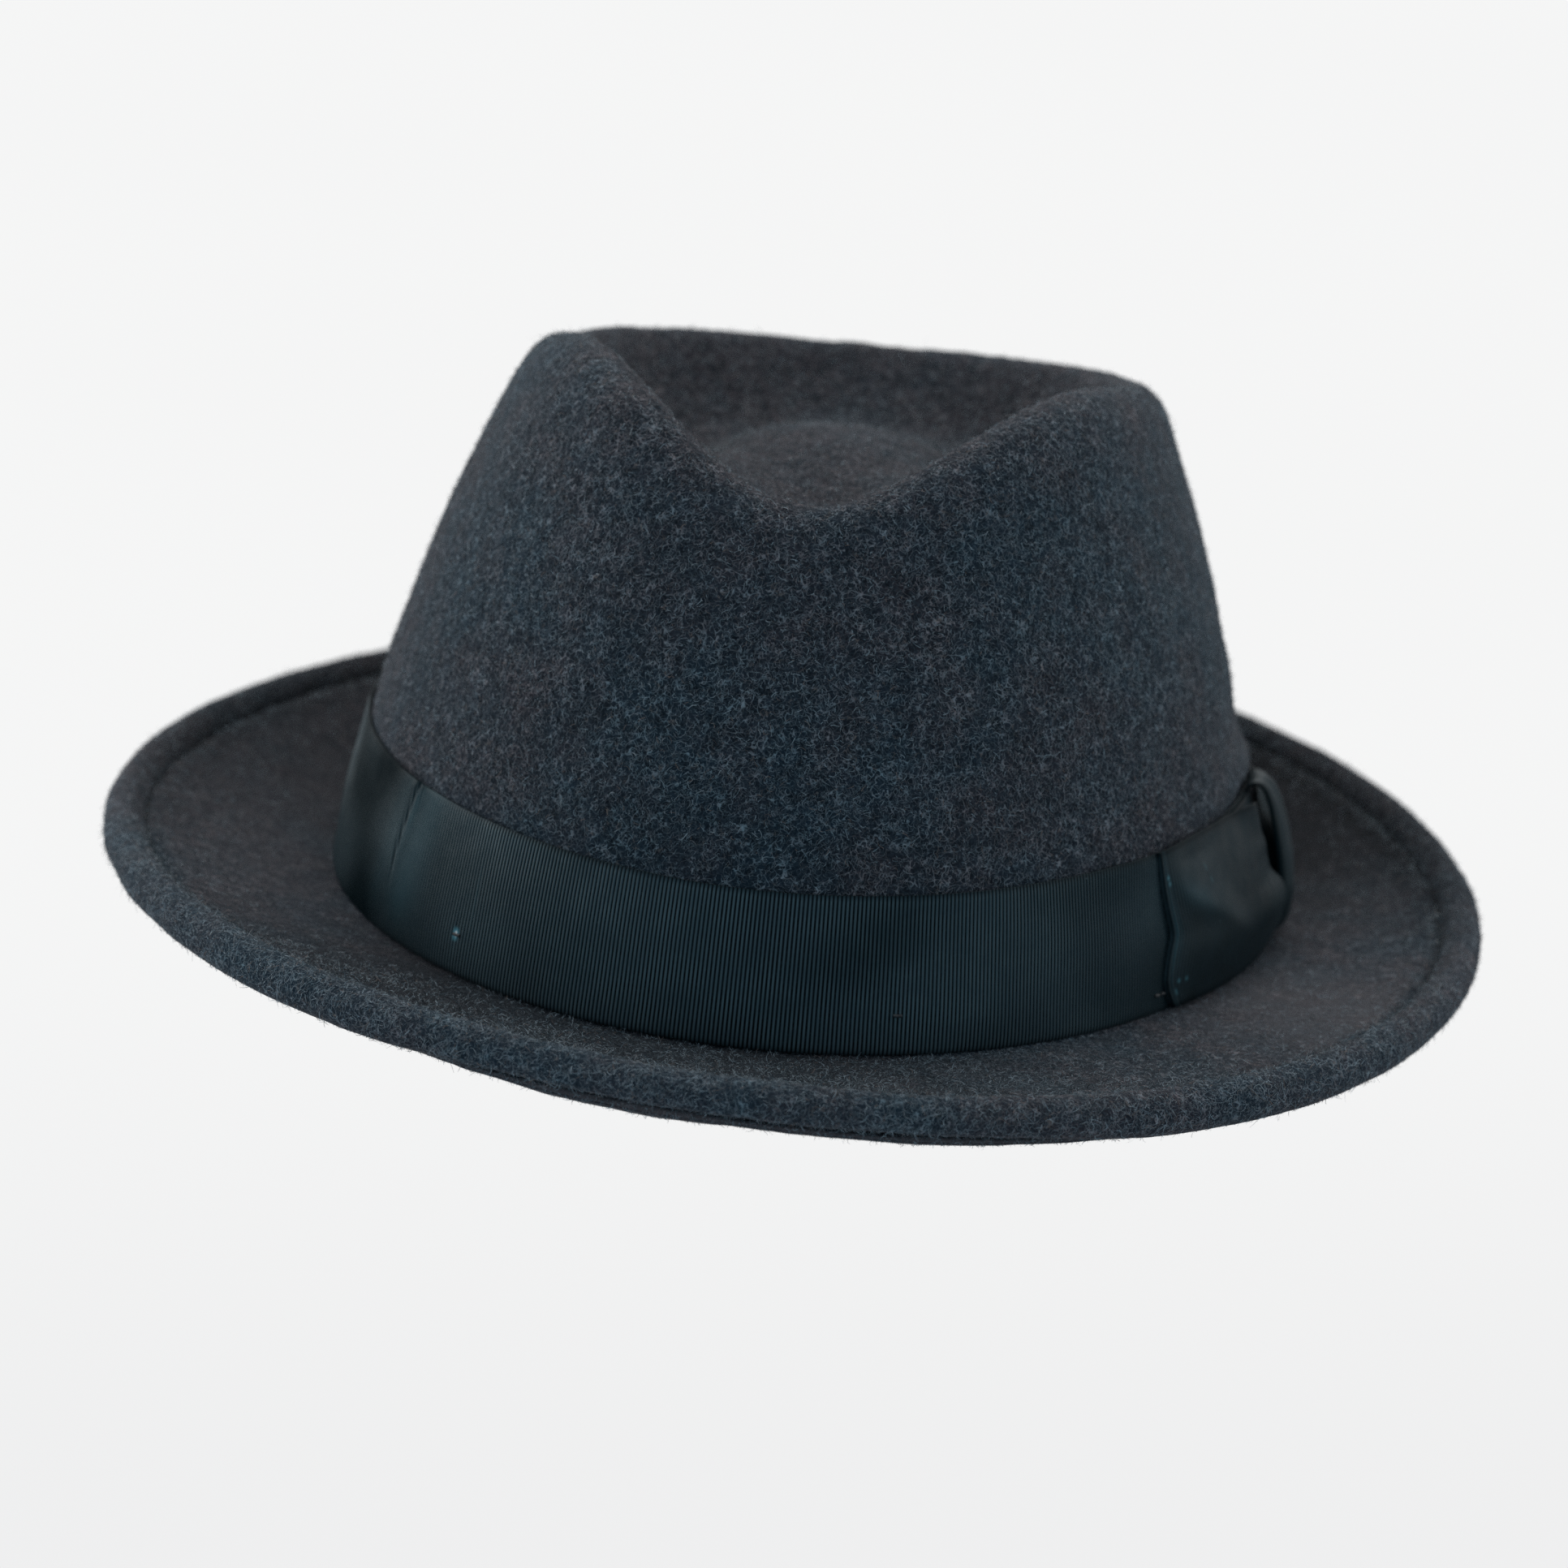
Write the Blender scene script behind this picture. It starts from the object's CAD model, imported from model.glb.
import bpy, math
import numpy as np
from mathutils import Vector, Matrix


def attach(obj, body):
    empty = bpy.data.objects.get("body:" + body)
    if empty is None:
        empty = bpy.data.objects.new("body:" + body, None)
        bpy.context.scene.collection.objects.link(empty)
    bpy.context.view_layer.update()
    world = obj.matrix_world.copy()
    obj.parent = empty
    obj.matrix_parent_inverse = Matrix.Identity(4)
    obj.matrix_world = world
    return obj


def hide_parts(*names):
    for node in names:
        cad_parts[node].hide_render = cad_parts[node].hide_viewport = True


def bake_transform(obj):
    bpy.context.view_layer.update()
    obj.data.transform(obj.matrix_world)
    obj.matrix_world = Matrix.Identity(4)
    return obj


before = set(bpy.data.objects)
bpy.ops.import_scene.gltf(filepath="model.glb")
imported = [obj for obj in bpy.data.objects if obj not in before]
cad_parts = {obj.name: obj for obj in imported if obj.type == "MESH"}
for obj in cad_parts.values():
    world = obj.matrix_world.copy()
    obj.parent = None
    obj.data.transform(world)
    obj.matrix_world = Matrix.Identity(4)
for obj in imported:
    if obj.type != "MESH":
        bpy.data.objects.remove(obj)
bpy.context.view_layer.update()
MM = 0.001
D2R = math.pi / 180.0

# =====================================================================================
# The hat's surface: the same curves as the CAD, in millimetres, t in degrees
# (0 = front, 90 = +X, the wearer's left).
# =====================================================================================
HW, HL, TH, EGG, SAD = 88.5, 104.5, 2.5, 0.007, 1.65
CW, CF, CB, TEAR, CH, ARCH, DIP = 54.4, 70.6, 69.8, 0.186, 101.2, 5.2, 2.6
RO, RI, BULGE, VALLEY, DOME = 8.9, 6.5, 2.6, 18.4, 90.4
BW, BL, RISE, TURNUP, ER, WELT, SNAP = 128.7, 143.7, 8.35, 7.85, 4.2, 10.0, 107.0
COX, CY0 = 0.27, 3.4
GAP, RIB_T = 0.35, 0.7


def sd(t): return np.sin(t * D2R)
def cd(t): return np.cos(t * D2R)
def wrap(t): return (t + 180.0) % 360.0 - 180.0
def base_x(t): return HW * sd(t) * (1 - EGG * cd(t))
def base_y(t): return -HL * cd(t)
def base_z(t): return -SAD * cd(2 * t)
def crest_x(t): return CW * sd(t) * (1 - TEAR * cd(t)) + 1.84 * sd(3 * t) + COX
def crest_y(t): return -np.where(cd(t) > 0, CF, CB) * cd(t) + 1.14 + 0.38 * cd(3 * t)
def crest_z(t):
    return (CH + 1.7 * cd(t) - ARCH * cd(2 * t) - 3.46 * cd(3 * t) - 1.45 * cd(4 * t)
            - DIP * np.exp(-(wrap(t) / 20.9) ** 2) + 0.8 * sd(t) * sstep(-0.35, 0.6, -cd(t)))


def sstep(a, b, x):
    x = np.clip((x - a) / (b - a), 0, 1)
    return x * x * (3 - 2 * x)


def arc_h(r, a): return 1.04 * r * math.sin(a * D2R)
def arc_v(r, a): return 1.04 * r * (1 - math.cos(a * D2R)) - 0.04 * r


def section(t):
    """control points, shape (15, N, 3)"""
    t = np.asarray(t, float)
    bx, by, rx, ry = base_x(t), base_y(t), crest_x(t), crest_y(t)
    zb, zr = base_z(t), crest_z(t)
    reach = np.hypot(bx - rx, by - ry)
    inner = np.hypot(rx - COX, ry - CY0)

    def outw(h, z):
        f = h / reach
        return np.stack([rx + f * (bx - rx), ry + f * (by - ry), z + 0 * f], -1)

    def inw(g, z):
        f = g / inner
        return np.stack([rx + f * (COX - rx), ry + f * (CY0 - ry), z + 0 * f], -1)
    hb, d = 30.2, 4.4
    h0, z0 = reach - d * 1.05, zb + hb
    h1, z1 = arc_h(RO, 72), zr - arc_v(RO, 72)
    g1, y1 = arc_h(RI, 55), zr - arc_v(RI, 55)
    g2, y2 = inner * 0.387, zr - VALLEY + 3.58 * cd(t) + 7.56 * cd(2 * t)
    return np.array([
        outw(reach, zb), outw(reach - d * 0.33, zb + hb * 0.4), outw(h0, z0),
        outw(h0 + (h1 - h0) * 0.30 + BULGE * 0.809, z0 + (z1 - z0) * 0.30),
        outw(h0 + (h1 - h0) * 0.64 + BULGE * 0.905, z0 + (z1 - z0) * 0.64),
        outw(h1 + 0 * reach, z1),
        outw(arc_h(RO, 42) + 0 * reach, zr - arc_v(RO, 42)),
        outw(arc_h(RO, 14) + 0 * reach, zr - arc_v(RO, 14)),
        inw(arc_h(RI, 20) + 0 * reach, zr - arc_v(RI, 20)),
        inw(g1 + 0 * reach, y1),
        inw(g1 + 0.45 * (g2 - g1), y1 + 0.62 * (y2 - y1)),
        inw(g2, y2),
        inw(inner * 0.629, DOME - 3.5 + 0 * reach),
        inw(inner * 0.833, DOME + 0 * reach),
        np.stack([COX + 0 * t, CY0 + 0 * t, DOME + 0 * t], -1)])


def skin(u, t):
    """points on the outside of the crown; u and t are equal-shaped arrays"""
    u, t = np.broadcast_arrays(np.asarray(u, float), np.asarray(t, float))
    sh = u.shape
    u, t = u.ravel(), t.ravel()
    c = section(t)
    i = np.clip(np.floor(u).astype(int), 0, 15)
    f = (u - i)[:, None]
    n = np.arange(len(u))
    k = lambda j: c[np.clip(i + j - 2, 0, 14), n]
    p = ((1 - f) ** 3 * k(0) + (3 * f ** 3 - 6 * f ** 2 + 4) * k(1)
         + (-3 * f ** 3 + 3 * f ** 2 + 3 * f + 1) * k(2) + f ** 3 * k(3)) / 6
    return p.reshape(sh + (3,))


def skin_n(u, t):
    u, t = np.broadcast_arrays(np.asarray(u, float), np.asarray(t, float))
    v = np.cross(skin(u, t + 1) - skin(u, t - 1), skin(u + 0.05, t) - skin(u - 0.05, t))
    return v / np.maximum(np.linalg.norm(v, axis=-1, keepdims=True), 1e-9)


def off_skin(u, t, o):
    n = skin_n(u, t)
    return skin(u, t) + np.asarray(o, float)[..., None] * n if np.ndim(o) else skin(u, t) + o * n


def edge_x(t): return BW * sd(t)
def edge_y(t): return -BL * cd(t) - 1.94
def edge_z(t): return RISE - TURNUP * cd(t) + 1.1 * cd(2 * t) - 1.4 * sd(t) - 1.7 * sd(2 * t)
def brim_w(t): return np.hypot(edge_x(t) - base_x(t), edge_y(t) - base_y(t))
def brim_z(t, r):
    u = r / (brim_w(t) - 6)
    return base_z(t) + (edge_z(t) + 1.2 - base_z(t)) * (0.55 * u + 0.45 * u * u)
def brim_pt(t, r, z):
    f = r / brim_w(t)
    return np.stack([base_x(t) + f * (edge_x(t) - base_x(t)), base_y(t) + f * (edge_y(t) - base_y(t)), z + 0 * f], -1)


# smooth pseudo-random functions made of sines, the same on every run
def waves(seed, n, lo, hi):
    r = np.random.RandomState(seed)
    k = r.normal(size=(n, 3)); k /= np.linalg.norm(k, axis=1, keepdims=True)
    k *= (2 * math.pi / (lo + (hi - lo) * r.rand(n)))[:, None]
    ph = r.rand(n) * 2 * math.pi
    def f(p):
        out = np.zeros(p.shape[:-1])
        for a, b in zip(k, ph):
            out += np.sin(p @ a + b)
        return out / math.sqrt(n)
    return f


# =====================================================================================
# Mesh helpers
# =====================================================================================
def mesh_object(name, verts, faces, mat, smooth=True):
    me = bpy.data.meshes.new(name)
    verts = np.asarray(verts, np.float32)
    faces = [np.asarray(f, np.int32) for f in faces if len(f)]
    nv = len(verts)
    me.vertices.add(nv)
    me.vertices.foreach_set("co", (verts * MM).ravel())
    loops = np.concatenate([f.ravel() for f in faces])
    sizes = np.concatenate([np.full(len(f), f.shape[1], np.int32) for f in faces])
    starts = np.concatenate([[0], np.cumsum(sizes)[:-1]]).astype(np.int32)
    me.loops.add(len(loops))
    me.loops.foreach_set("vertex_index", loops)
    me.polygons.add(len(sizes))
    me.polygons.foreach_set("loop_start", starts)
    me.polygons.foreach_set("use_smooth", np.full(len(sizes), smooth, bool))
    me.update(calc_edges=True)
    me.validate()
    if mat is not None:
        me.materials.append(mat)
    ob = bpy.data.objects.new(name, me)
    bpy.context.scene.collection.objects.link(ob)
    return ob


def quads(m, n, wrap_n, flip=False, base=0, wrap_m=False):
    i = np.arange(m if wrap_m else m - 1)[:, None]
    j = np.arange(n if wrap_n else n - 1)[None, :]
    i2 = (i + 1) % m
    a, b, c, d = base + i * n + j, base + i * n + (j + 1) % n, base + i2 * n + (j + 1) % n, base + i2 * n + j
    q = np.stack([a + 0 * b, b, c, d + 0 * c], -1).reshape(-1, 4)
    return q[:, ::-1] if flip else q


def ring_mesh(name, R, mat, flip=False):
    """R: (m, n, 3) closed both ways"""
    R = np.asarray(R)
    m, n = R.shape[:2]
    return mesh_object(name, R.reshape(-1, 3), [quads(m, n, True, flip, wrap_m=True)], mat)


def sheet_mesh(name, A, B, mat):
    """solid between grids A and B (B on the outer side)"""
    m, n = A.shape[:2]
    V = np.concatenate([A.reshape(-1, 3), B.reshape(-1, 3)])
    k = m * n
    F = [quads(m, n, False, True), quads(m, n, False, False, base=k)]
    rim = [i * n for i in range(m)] + [(m - 1) * n + j for j in range(1, n)] + \
          [i * n + n - 1 for i in range(m - 2, -1, -1)] + [j for j in range(n - 2, 0, -1)]
    rim = np.array(rim)
    nxt = np.roll(rim, -1)
    F.append(np.stack([rim, nxt, nxt + k, rim + k], -1))
    ob = mesh_object(name, V, F, mat)
    fix_normals(ob)
    return ob


def fix_normals(ob):
    import bmesh
    bm = bmesh.new()
    bm.from_mesh(ob.data)
    bmesh.ops.recalc_face_normals(bm, faces=bm.faces)
    bm.to_mesh(ob.data)
    bm.free()


def add_rest(ob, co=None):
    me = ob.data
    a = me.attributes.new("rest_co", "FLOAT_VECTOR", "POINT")
    if co is None:
        co = np.zeros(len(me.vertices) * 3, np.float32)
        me.vertices.foreach_get("co", co)
    a.data.foreach_set("vector", np.asarray(co, np.float32).ravel())


def add_float(ob, name, val):
    a = ob.data.attributes.new(name, "FLOAT", "POINT")
    a.data.foreach_set("value", np.asarray(val, np.float32).ravel())


# =====================================================================================
# Materials
# =====================================================================================
class Nodes:
    def __init__(self, name):
        self.mat = bpy.data.materials.new(name)
        self.mat.use_nodes = True
        self.nt = self.mat.node_tree
        self.nt.nodes.clear()
        self.out = self.nt.nodes.new("ShaderNodeOutputMaterial")

    def n(self, kind, props=None, **inp):
        nd = self.nt.nodes.new(kind)
        for k, v in (props or {}).items():
            setattr(nd, k, v)
        for k, v in inp.items():
            self.set(nd, k, v)
        return nd

    def set(self, nd, k, v):
        key = int(k[1:]) if k[0] == "i" and k[1:].isdigit() else k.replace("_", " ")
        s = nd.inputs[key]
        if isinstance(v, bpy.types.NodeSocket):
            self.nt.links.new(v, s)
        elif isinstance(v, bpy.types.Node):
            self.nt.links.new(v.outputs[0], s)
        else:
            s.default_value = v

    def m(self, op, a, b=0.0, c=0.0, clamp=False):
        nd = self.nt.nodes.new("ShaderNodeMath")
        nd.operation = op
        nd.use_clamp = clamp
        for k, v in zip(("i0", "i1", "i2"), (a, b, c)):
            self.set(nd, k, v)
        return nd.outputs[0]

    def v(self, op, a, b=None, s=None):
        nd = self.nt.nodes.new("ShaderNodeVectorMath")
        nd.operation = op
        self.set(nd, "i0", a)
        if b is not None:
            self.set(nd, "i1", b)
        if s is not None:
            self.set(nd, "Scale", s)
        return nd.outputs["Value"] if op in ("DOT_PRODUCT", "LENGTH", "DISTANCE") else nd.outputs["Vector"]

    def mix(self, f, a, b, blend="MIX"):
        nd = self.nt.nodes.new("ShaderNodeMix")
        nd.data_type = "RGBA"
        nd.blend_type = blend
        self.set(nd, "i0", f)
        for idx, val in ((6, a), (7, b)):
            if isinstance(val, (tuple, list)):
                val = tuple(val) + (1.0,) if len(val) == 3 else tuple(val)
            self.set(nd, "i%d" % idx, val)
        return nd.outputs[2]

    def ramp(self, x, a, b, lo=0.0, hi=1.0, smooth=True):
        nd = self.nt.nodes.new("ShaderNodeMapRange")
        nd.interpolation_type = "SMOOTHSTEP" if smooth else "LINEAR"
        self.set(nd, "i0", x)
        for i, val in ((1, a), (2, b), (3, lo), (4, hi)):
            self.set(nd, "i%d" % i, val)
        return nd.outputs[0]

    def attr(self, name):
        nd = self.nt.nodes.new("ShaderNodeAttribute")
        nd.attribute_name = name
        return nd

    def noise(self, co, scale, detail=2.0, rough=0.5, dist=0.0):
        nd = self.n("ShaderNodeTexNoise", Vector=co, Scale=scale, Detail=detail, Roughness=rough, Distortion=dist)
        return nd

    def done(self, bsdf):
        self.nt.links.new(bsdf.outputs[0], self.out.inputs["Surface"])
        return self.mat


def fibre_layer(N, P, Nrm, scale, width, length, bend, off):
    """short curved strands lying in the surface: one in each cell of a 3D cell pattern. Returns (mask, random)."""
    Q = N.v("ADD", P, off)
    vor = N.n("ShaderNodeTexVoronoi", Vector=Q, Scale=scale)
    pos, rnd = vor.outputs["Position"], vor.outputs["Color"]
    d0 = N.v("SUBTRACT", rnd, (0.5, 0.5, 0.5))
    e = N.v("NORMALIZE", N.v("CROSS_PRODUCT", Nrm, d0))
    d = N.v("CROSS_PRODUCT", e, Nrm)
    w = N.v("SUBTRACT", Q, pos)
    x, y = N.v("DOT_PRODUCT", w, d), N.v("DOT_PRODUCT", w, e)
    sep = N.n("ShaderNodeSeparateColor", Color=rnd)
    k = N.m("MULTIPLY", N.m("SUBTRACT", sep.outputs[1], 0.5), bend)
    yy = N.m("ABSOLUTE", N.m("SUBTRACT", N.m("SUBTRACT", y, N.m("MULTIPLY", k, N.m("MULTIPLY", x, x))), N.m("MULTIPLY", k, -0.02 * length * length * 10)))
    line = N.ramp(yy, 0.0, width, 1.0, 0.0)
    taper = N.ramp(N.m("ABSOLUTE", x), length * 0.45, length, 1.0, 0.0)
    return N.m("MULTIPLY", line, taper), sep.outputs[2]


def contour_layer(N, P, scale, width, off, brk):
    """curly strands: the level lines of a noise, broken into lengths by a second noise"""
    Q = N.v("ADD", P, off)
    n = N.noise(Q, scale, 1.0, 0.45, 0.0)
    line = N.ramp(N.m("ABSOLUTE", N.m("SUBTRACT", n.outputs["Fac"], 0.5)), 0.0, width, 1.0, 0.0)
    cut = N.noise(N.v("ADD", Q, (0.7, 0.2, 0.9)), scale * brk, 0.0)
    return N.m("MULTIPLY", line, N.ramp(cut.outputs["Fac"], 0.44, 0.58, 0.0, 1.0))


def felt_material(name="felt_look", fibre=1.0):
    N = Nodes(name)
    P = N.attr("rest_co").outputs["Vector"]
    warm = N.attr("warm").outputs["Fac"]
    geo = N.n("ShaderNodeNewGeometry")
    Nrm = geo.outputs["Normal"]
    warp = N.noise(P, 700.0, 2.0, 0.6)
    Pw = N.v("ADD", P, N.v("SCALE", N.v("SUBTRACT", warp.outputs["Color"], (0.5, 0.5, 0.5)), s=0.0013))
    layers = [(430.0, 9.5e-5, 1.5e-3, 700.0, (0.0, 0.0, 0.0)),
              (500.0, 8.5e-5, 1.3e-3, 1100.0, (0.31, 0.12, 0.7)),
              (640.0, 8.0e-5, 1.0e-3, 1700.0, (0.51, 0.82, 0.2)),
              (820.0, 7.5e-5, 8.0e-4, 2500.0, (0.11, 0.42, 0.4))]
    total = None
    for i, (sc, wd, ln, bd, off) in enumerate(layers):
        msk, rn = fibre_layer(N, Pw, Nrm, sc, wd, ln, bd, off)
        val = N.m("MULTIPLY", msk, N.ramp(rn, 0.1, 1.0, 0.10, 1.0, smooth=False))
        total = val if total is None else N.m("MAXIMUM", total, val)
    curl = None
    for sc, wd, off, brk, amp in ((520.0, 0.030, (0.2, 0.5, 0.1), 0.9, 0.9), (700.0, 0.034, (0.9, 0.3, 0.6), 0.9, 0.8), (980.0, 0.040, (0.4, 0.7, 0.3), 0.8, 0.7)):
        v = N.m("MULTIPLY", contour_layer(N, P, sc, wd, off, brk), amp)
        curl = v if curl is None else N.m("MAXIMUM", curl, v)
    total = N.m("MAXIMUM", total, curl)
    fine = N.noise(P, 2200.0, 3.0, 0.65)
    clump = N.noise(P, 430.0, 3.0, 0.62)
    knots = N.noise(P, 260.0, 2.0, 0.55)
    patch = N.noise(P, 85.0, 3.0, 0.55)
    broad = N.noise(P, 20.0, 2.0, 0.5)
    blue, brown, deep = (0.0084, 0.0185, 0.0290), (0.0275, 0.0222, 0.0262), (0.0024, 0.0044, 0.0072)
    w = N.m("ADD", N.m("MULTIPLY", warm, 0.85), N.ramp(patch.outputs["Fac"], 0.36, 0.68, -0.05, 0.45), clamp=True)
    w = N.m("ADD", w, N.ramp(broad.outputs["Fac"], 0.35, 0.65, -0.26, 0.30), clamp=True)
    ground = N.mix(w, blue, brown)
    calm = N.m("SUBTRACT", 1.0, N.m("MULTIPLY", N.attr("calm").outputs["Fac"], 0.80))
    dark = N.m("MULTIPLY", N.ramp(clump.outputs["Fac"], 0.34, 0.62, 0.80, 0.0), calm)
    ground = N.mix(dark, ground, deep)
    ground = N.mix(N.m("MULTIPLY", N.ramp(knots.outputs["Fac"], 0.34, 0.62, 0.25, 0.0), calm), ground, deep)
    nap = N.noise(N.v("MULTIPLY", P, (1.0, 1.0, 0.28)), 240.0, 2.0, 0.55)
    ground = N.mix(N.ramp(nap.outputs["Fac"], 0.36, 0.58, 0.30, 0.0), ground, deep)
    ground = N.mix(N.ramp(fine.outputs["Fac"], 0.36, 0.72, 0.0, 0.55), ground, (0.030, 0.044, 0.056))
    tone = N.noise(P, 800.0, 1.0)
    cool, neut = (0.150, 0.215, 0.255), (0.205, 0.190, 0.204)
    fcol = N.mix(N.m("ADD", N.m("MULTIPLY", w, 0.85), N.ramp(tone.outputs["Fac"], 0.42, 0.58, 0.0, 0.3), clamp=True), cool, neut)
    rust = N.noise(N.v("ADD", P, (0.3, 0.1, 0.2)), 520.0, 1.0)
    fcol = N.mix(N.ramp(rust.outputs["Fac"], 0.62, 0.72, 0.0, 0.7), fcol, (0.120, 0.095, 0.080))
    den = N.ramp(knots.outputs["Fac"], 0.32, 0.66, 0.60, 1.0)
    amt = N.m("MULTIPLY", N.m("MULTIPLY", total, den), N.ramp(warm, 0.0, 1.0, 0.95 * fibre, 0.70 * fibre), clamp=True)
    col = N.mix(amt, ground, fcol)
    shade = N.attr("shade").outputs["Fac"]
    col = N.mix(N.m("MULTIPLY", shade, 0.85, clamp=True), col, (0.0030, 0.0036, 0.0048))
    col = N.mix(N.m("MULTIPLY", shade, -0.60, clamp=True), col, (0.120, 0.111, 0.117))
    hgt = N.m("ADD", N.m("MULTIPLY", total, 0.6), N.m("ADD", N.m("MULTIPLY", clump.outputs["Fac"], 1.5), N.m("MULTIPLY", fine.outputs["Fac"], 0.6)))
    bump = N.n("ShaderNodeBump", Height=hgt, Strength=0.9, Distance=0.00028)
    b = N.n("ShaderNodeBsdfPrincipled", Base_Color=col, Roughness=0.95, Normal=bump)
    N.set(b, "Specular IOR Level", 0.05)
    N.set(b, "Sheen Weight", 0.085)
    N.set(b, "Sheen Roughness", 0.30)
    N.set(b, "Sheen Tint", (0.80, 0.90, 1.0, 1.0))
    return N.done(b)


def fuzz_material():
    N = Nodes("felt_fibre_look")
    r = N.attr("tone").outputs["Fac"]
    c = N.mix(N.ramp(r, 0.0, 0.85), (0.018, 0.028, 0.036), (0.185, 0.240, 0.275))
    c = N.mix(N.ramp(r, 0.90, 0.93), c, (0.12, 0.095, 0.085))
    b = N.n("ShaderNodeBsdfPrincipled", Base_Color=c, Roughness=0.7)
    N.set(b, "Specular IOR Level", 0.3)
    return N.done(b)


def ribbon_material(name="grosgrain_look", dark=(0.0003, 0.0008, 0.0012), light=(0.0480, 0.0730, 0.0830)):
    N = Nodes(name)
    P = N.attr("rest_co").outputs["Vector"]
    rib = N.attr("rib").outputs["Fac"]
    edge = N.attr("selvage").outputs["Fac"]
    lite = N.attr("lite").outputs["Fac"]
    dull = N.attr("dull").outputs["Fac"]
    fine = N.noise(P, 2400.0, 2.0, 0.6)
    slub = N.noise(P, 240.0, 2.0, 0.5)
    patch = N.noise(P, 45.0, 2.0, 0.5)
    c = N.mix(N.ramp(rib, 0.48, 0.98), dark, light)
    c = N.mix(N.ramp(patch.outputs["Fac"], 0.35, 0.7, 0.0, 0.30), c, (0.0070, 0.0080, 0.0110))
    c = N.mix(N.ramp(slub.outputs["Fac"], 0.35, 0.7, 0.0, 0.30), c, (0.0120, 0.0230, 0.0300))
    c = N.mix(N.ramp(fine.outputs["Fac"], 0.45, 0.75, 0.0, 0.30), c, (0.026, 0.040, 0.050))
    c = N.mix(N.m("MULTIPLY", edge, 0.8), c, (0.0030, 0.0045, 0.0056))
    # stray specks of lint
    spk = N.n("ShaderNodeTexVoronoi", Vector=P, Scale=120.0)
    sc = N.n("ShaderNodeSeparateColor", Color=spk.outputs["Color"])
    lint = N.m("MULTIPLY", N.ramp(spk.outputs["Distance"], 0.012, 0.030, 1.0, 0.0), N.m("GREATER_THAN", sc.outputs[0], 0.80))
    c = N.mix(N.m("MULTIPLY", lint, 0.55), c, (0.12, 0.16, 0.18))
    c = N.mix(N.m("MULTIPLY", dull, 0.86), c, (0.0012, 0.0046, 0.0060))
    c = N.mix(lite, c, (0.085, 0.245, 0.300))
    c = N.mix(N.ramp(lite, 1.0, 1.4), c, (0.80, 0.84, 0.86))
    hgt = N.m("ADD", N.m("MULTIPLY", fine.outputs["Fac"], 0.5), N.m("MULTIPLY", slub.outputs["Fac"], 0.6))
    bump = N.n("ShaderNodeBump", Height=hgt, Strength=0.5, Distance=0.00010)
    b = N.n("ShaderNodeBsdfPrincipled", Base_Color=c, Roughness=N.ramp(slub.outputs["Fac"], 0.3, 0.7, 0.44, 0.54), Normal=bump)
    N.set(b, "Specular IOR Level", N.m("MULTIPLY", N.ramp(rib, 0.2, 1.0, 0.02, 0.26), N.m("SUBTRACT", 1.0, N.m("MULTIPLY", dull, 0.92))))
    N.set(b, "Specular Tint", (0.45, 0.83, 1.0, 1.0))
    N.set(b, "Sheen Weight", 0.02)
    N.set(b, "Sheen Roughness", 0.35)
    N.set(b, "Sheen Tint", (0.45, 0.75, 0.90, 1.0))
    return N.done(b)


def leather_material():
    N = Nodes("sweatband_leather_look")
    P = N.attr("rest_co").outputs["Vector"]
    big = N.noise(P, 35.0, 3.0, 0.55)
    cell = N.n("ShaderNodeTexVoronoi", {"feature": "DISTANCE_TO_EDGE"}, Vector=P, Scale=900.0)
    crease = N.noise(P, 300.0, 4.0, 0.6, 0.8)
    c = N.mix(N.ramp(big.outputs["Fac"], 0.3, 0.7), (0.165, 0.078, 0.038), (0.225, 0.115, 0.060))
    c = N.mix(N.ramp(cell.outputs["Distance"], 0.0, 0.10, 0.5, 0.0), c, (0.085, 0.038, 0.018))
    hgt = N.m("ADD", N.ramp(cell.outputs["Distance"], 0.0, 0.14), N.m("MULTIPLY", crease.outputs["Fac"], 0.9))
    bump = N.n("ShaderNodeBump", Height=hgt, Strength=0.55, Distance=0.00014)
    b = N.n("ShaderNodeBsdfPrincipled", Base_Color=c, Roughness=N.ramp(big.outputs["Fac"], 0.3, 0.7, 0.40, 0.52), Normal=bump)
    N.set(b, "Specular IOR Level", 0.45)
    return N.done(b)


def satin_material():
    N = Nodes("satin_look")
    P = N.attr("rest_co").outputs["Vector"]
    wrink = N.noise(P, 60.0, 3.0, 0.5)
    thread = N.n("ShaderNodeTexWave", {"bands_direction": "DIAGONAL"}, Vector=P, Scale=1500.0, Distortion=0.6, Detail=1.0)
    c = N.mix(N.ramp(wrink.outputs["Fac"], 0.3, 0.7), (0.012, 0.015, 0.022), (0.020, 0.025, 0.036))
    c = N.mix(N.m("MULTIPLY", thread.outputs["Fac"], 0.35), c, (0.034, 0.040, 0.054))
    hgt = N.m("ADD", N.m("MULTIPLY", thread.outputs["Fac"], 0.2), wrink.outputs["Fac"])
    bump = N.n("ShaderNodeBump", Height=hgt, Strength=0.35, Distance=0.0005)
    b = N.n("ShaderNodeBsdfPrincipled", Base_Color=c, Roughness=0.34, Normal=bump)
    N.set(b, "Anisotropic", 0.5)
    N.set(b, "Sheen Weight", 0.25)
    N.set(b, "Sheen Roughness", 0.3)
    return N.done(b)


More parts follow.
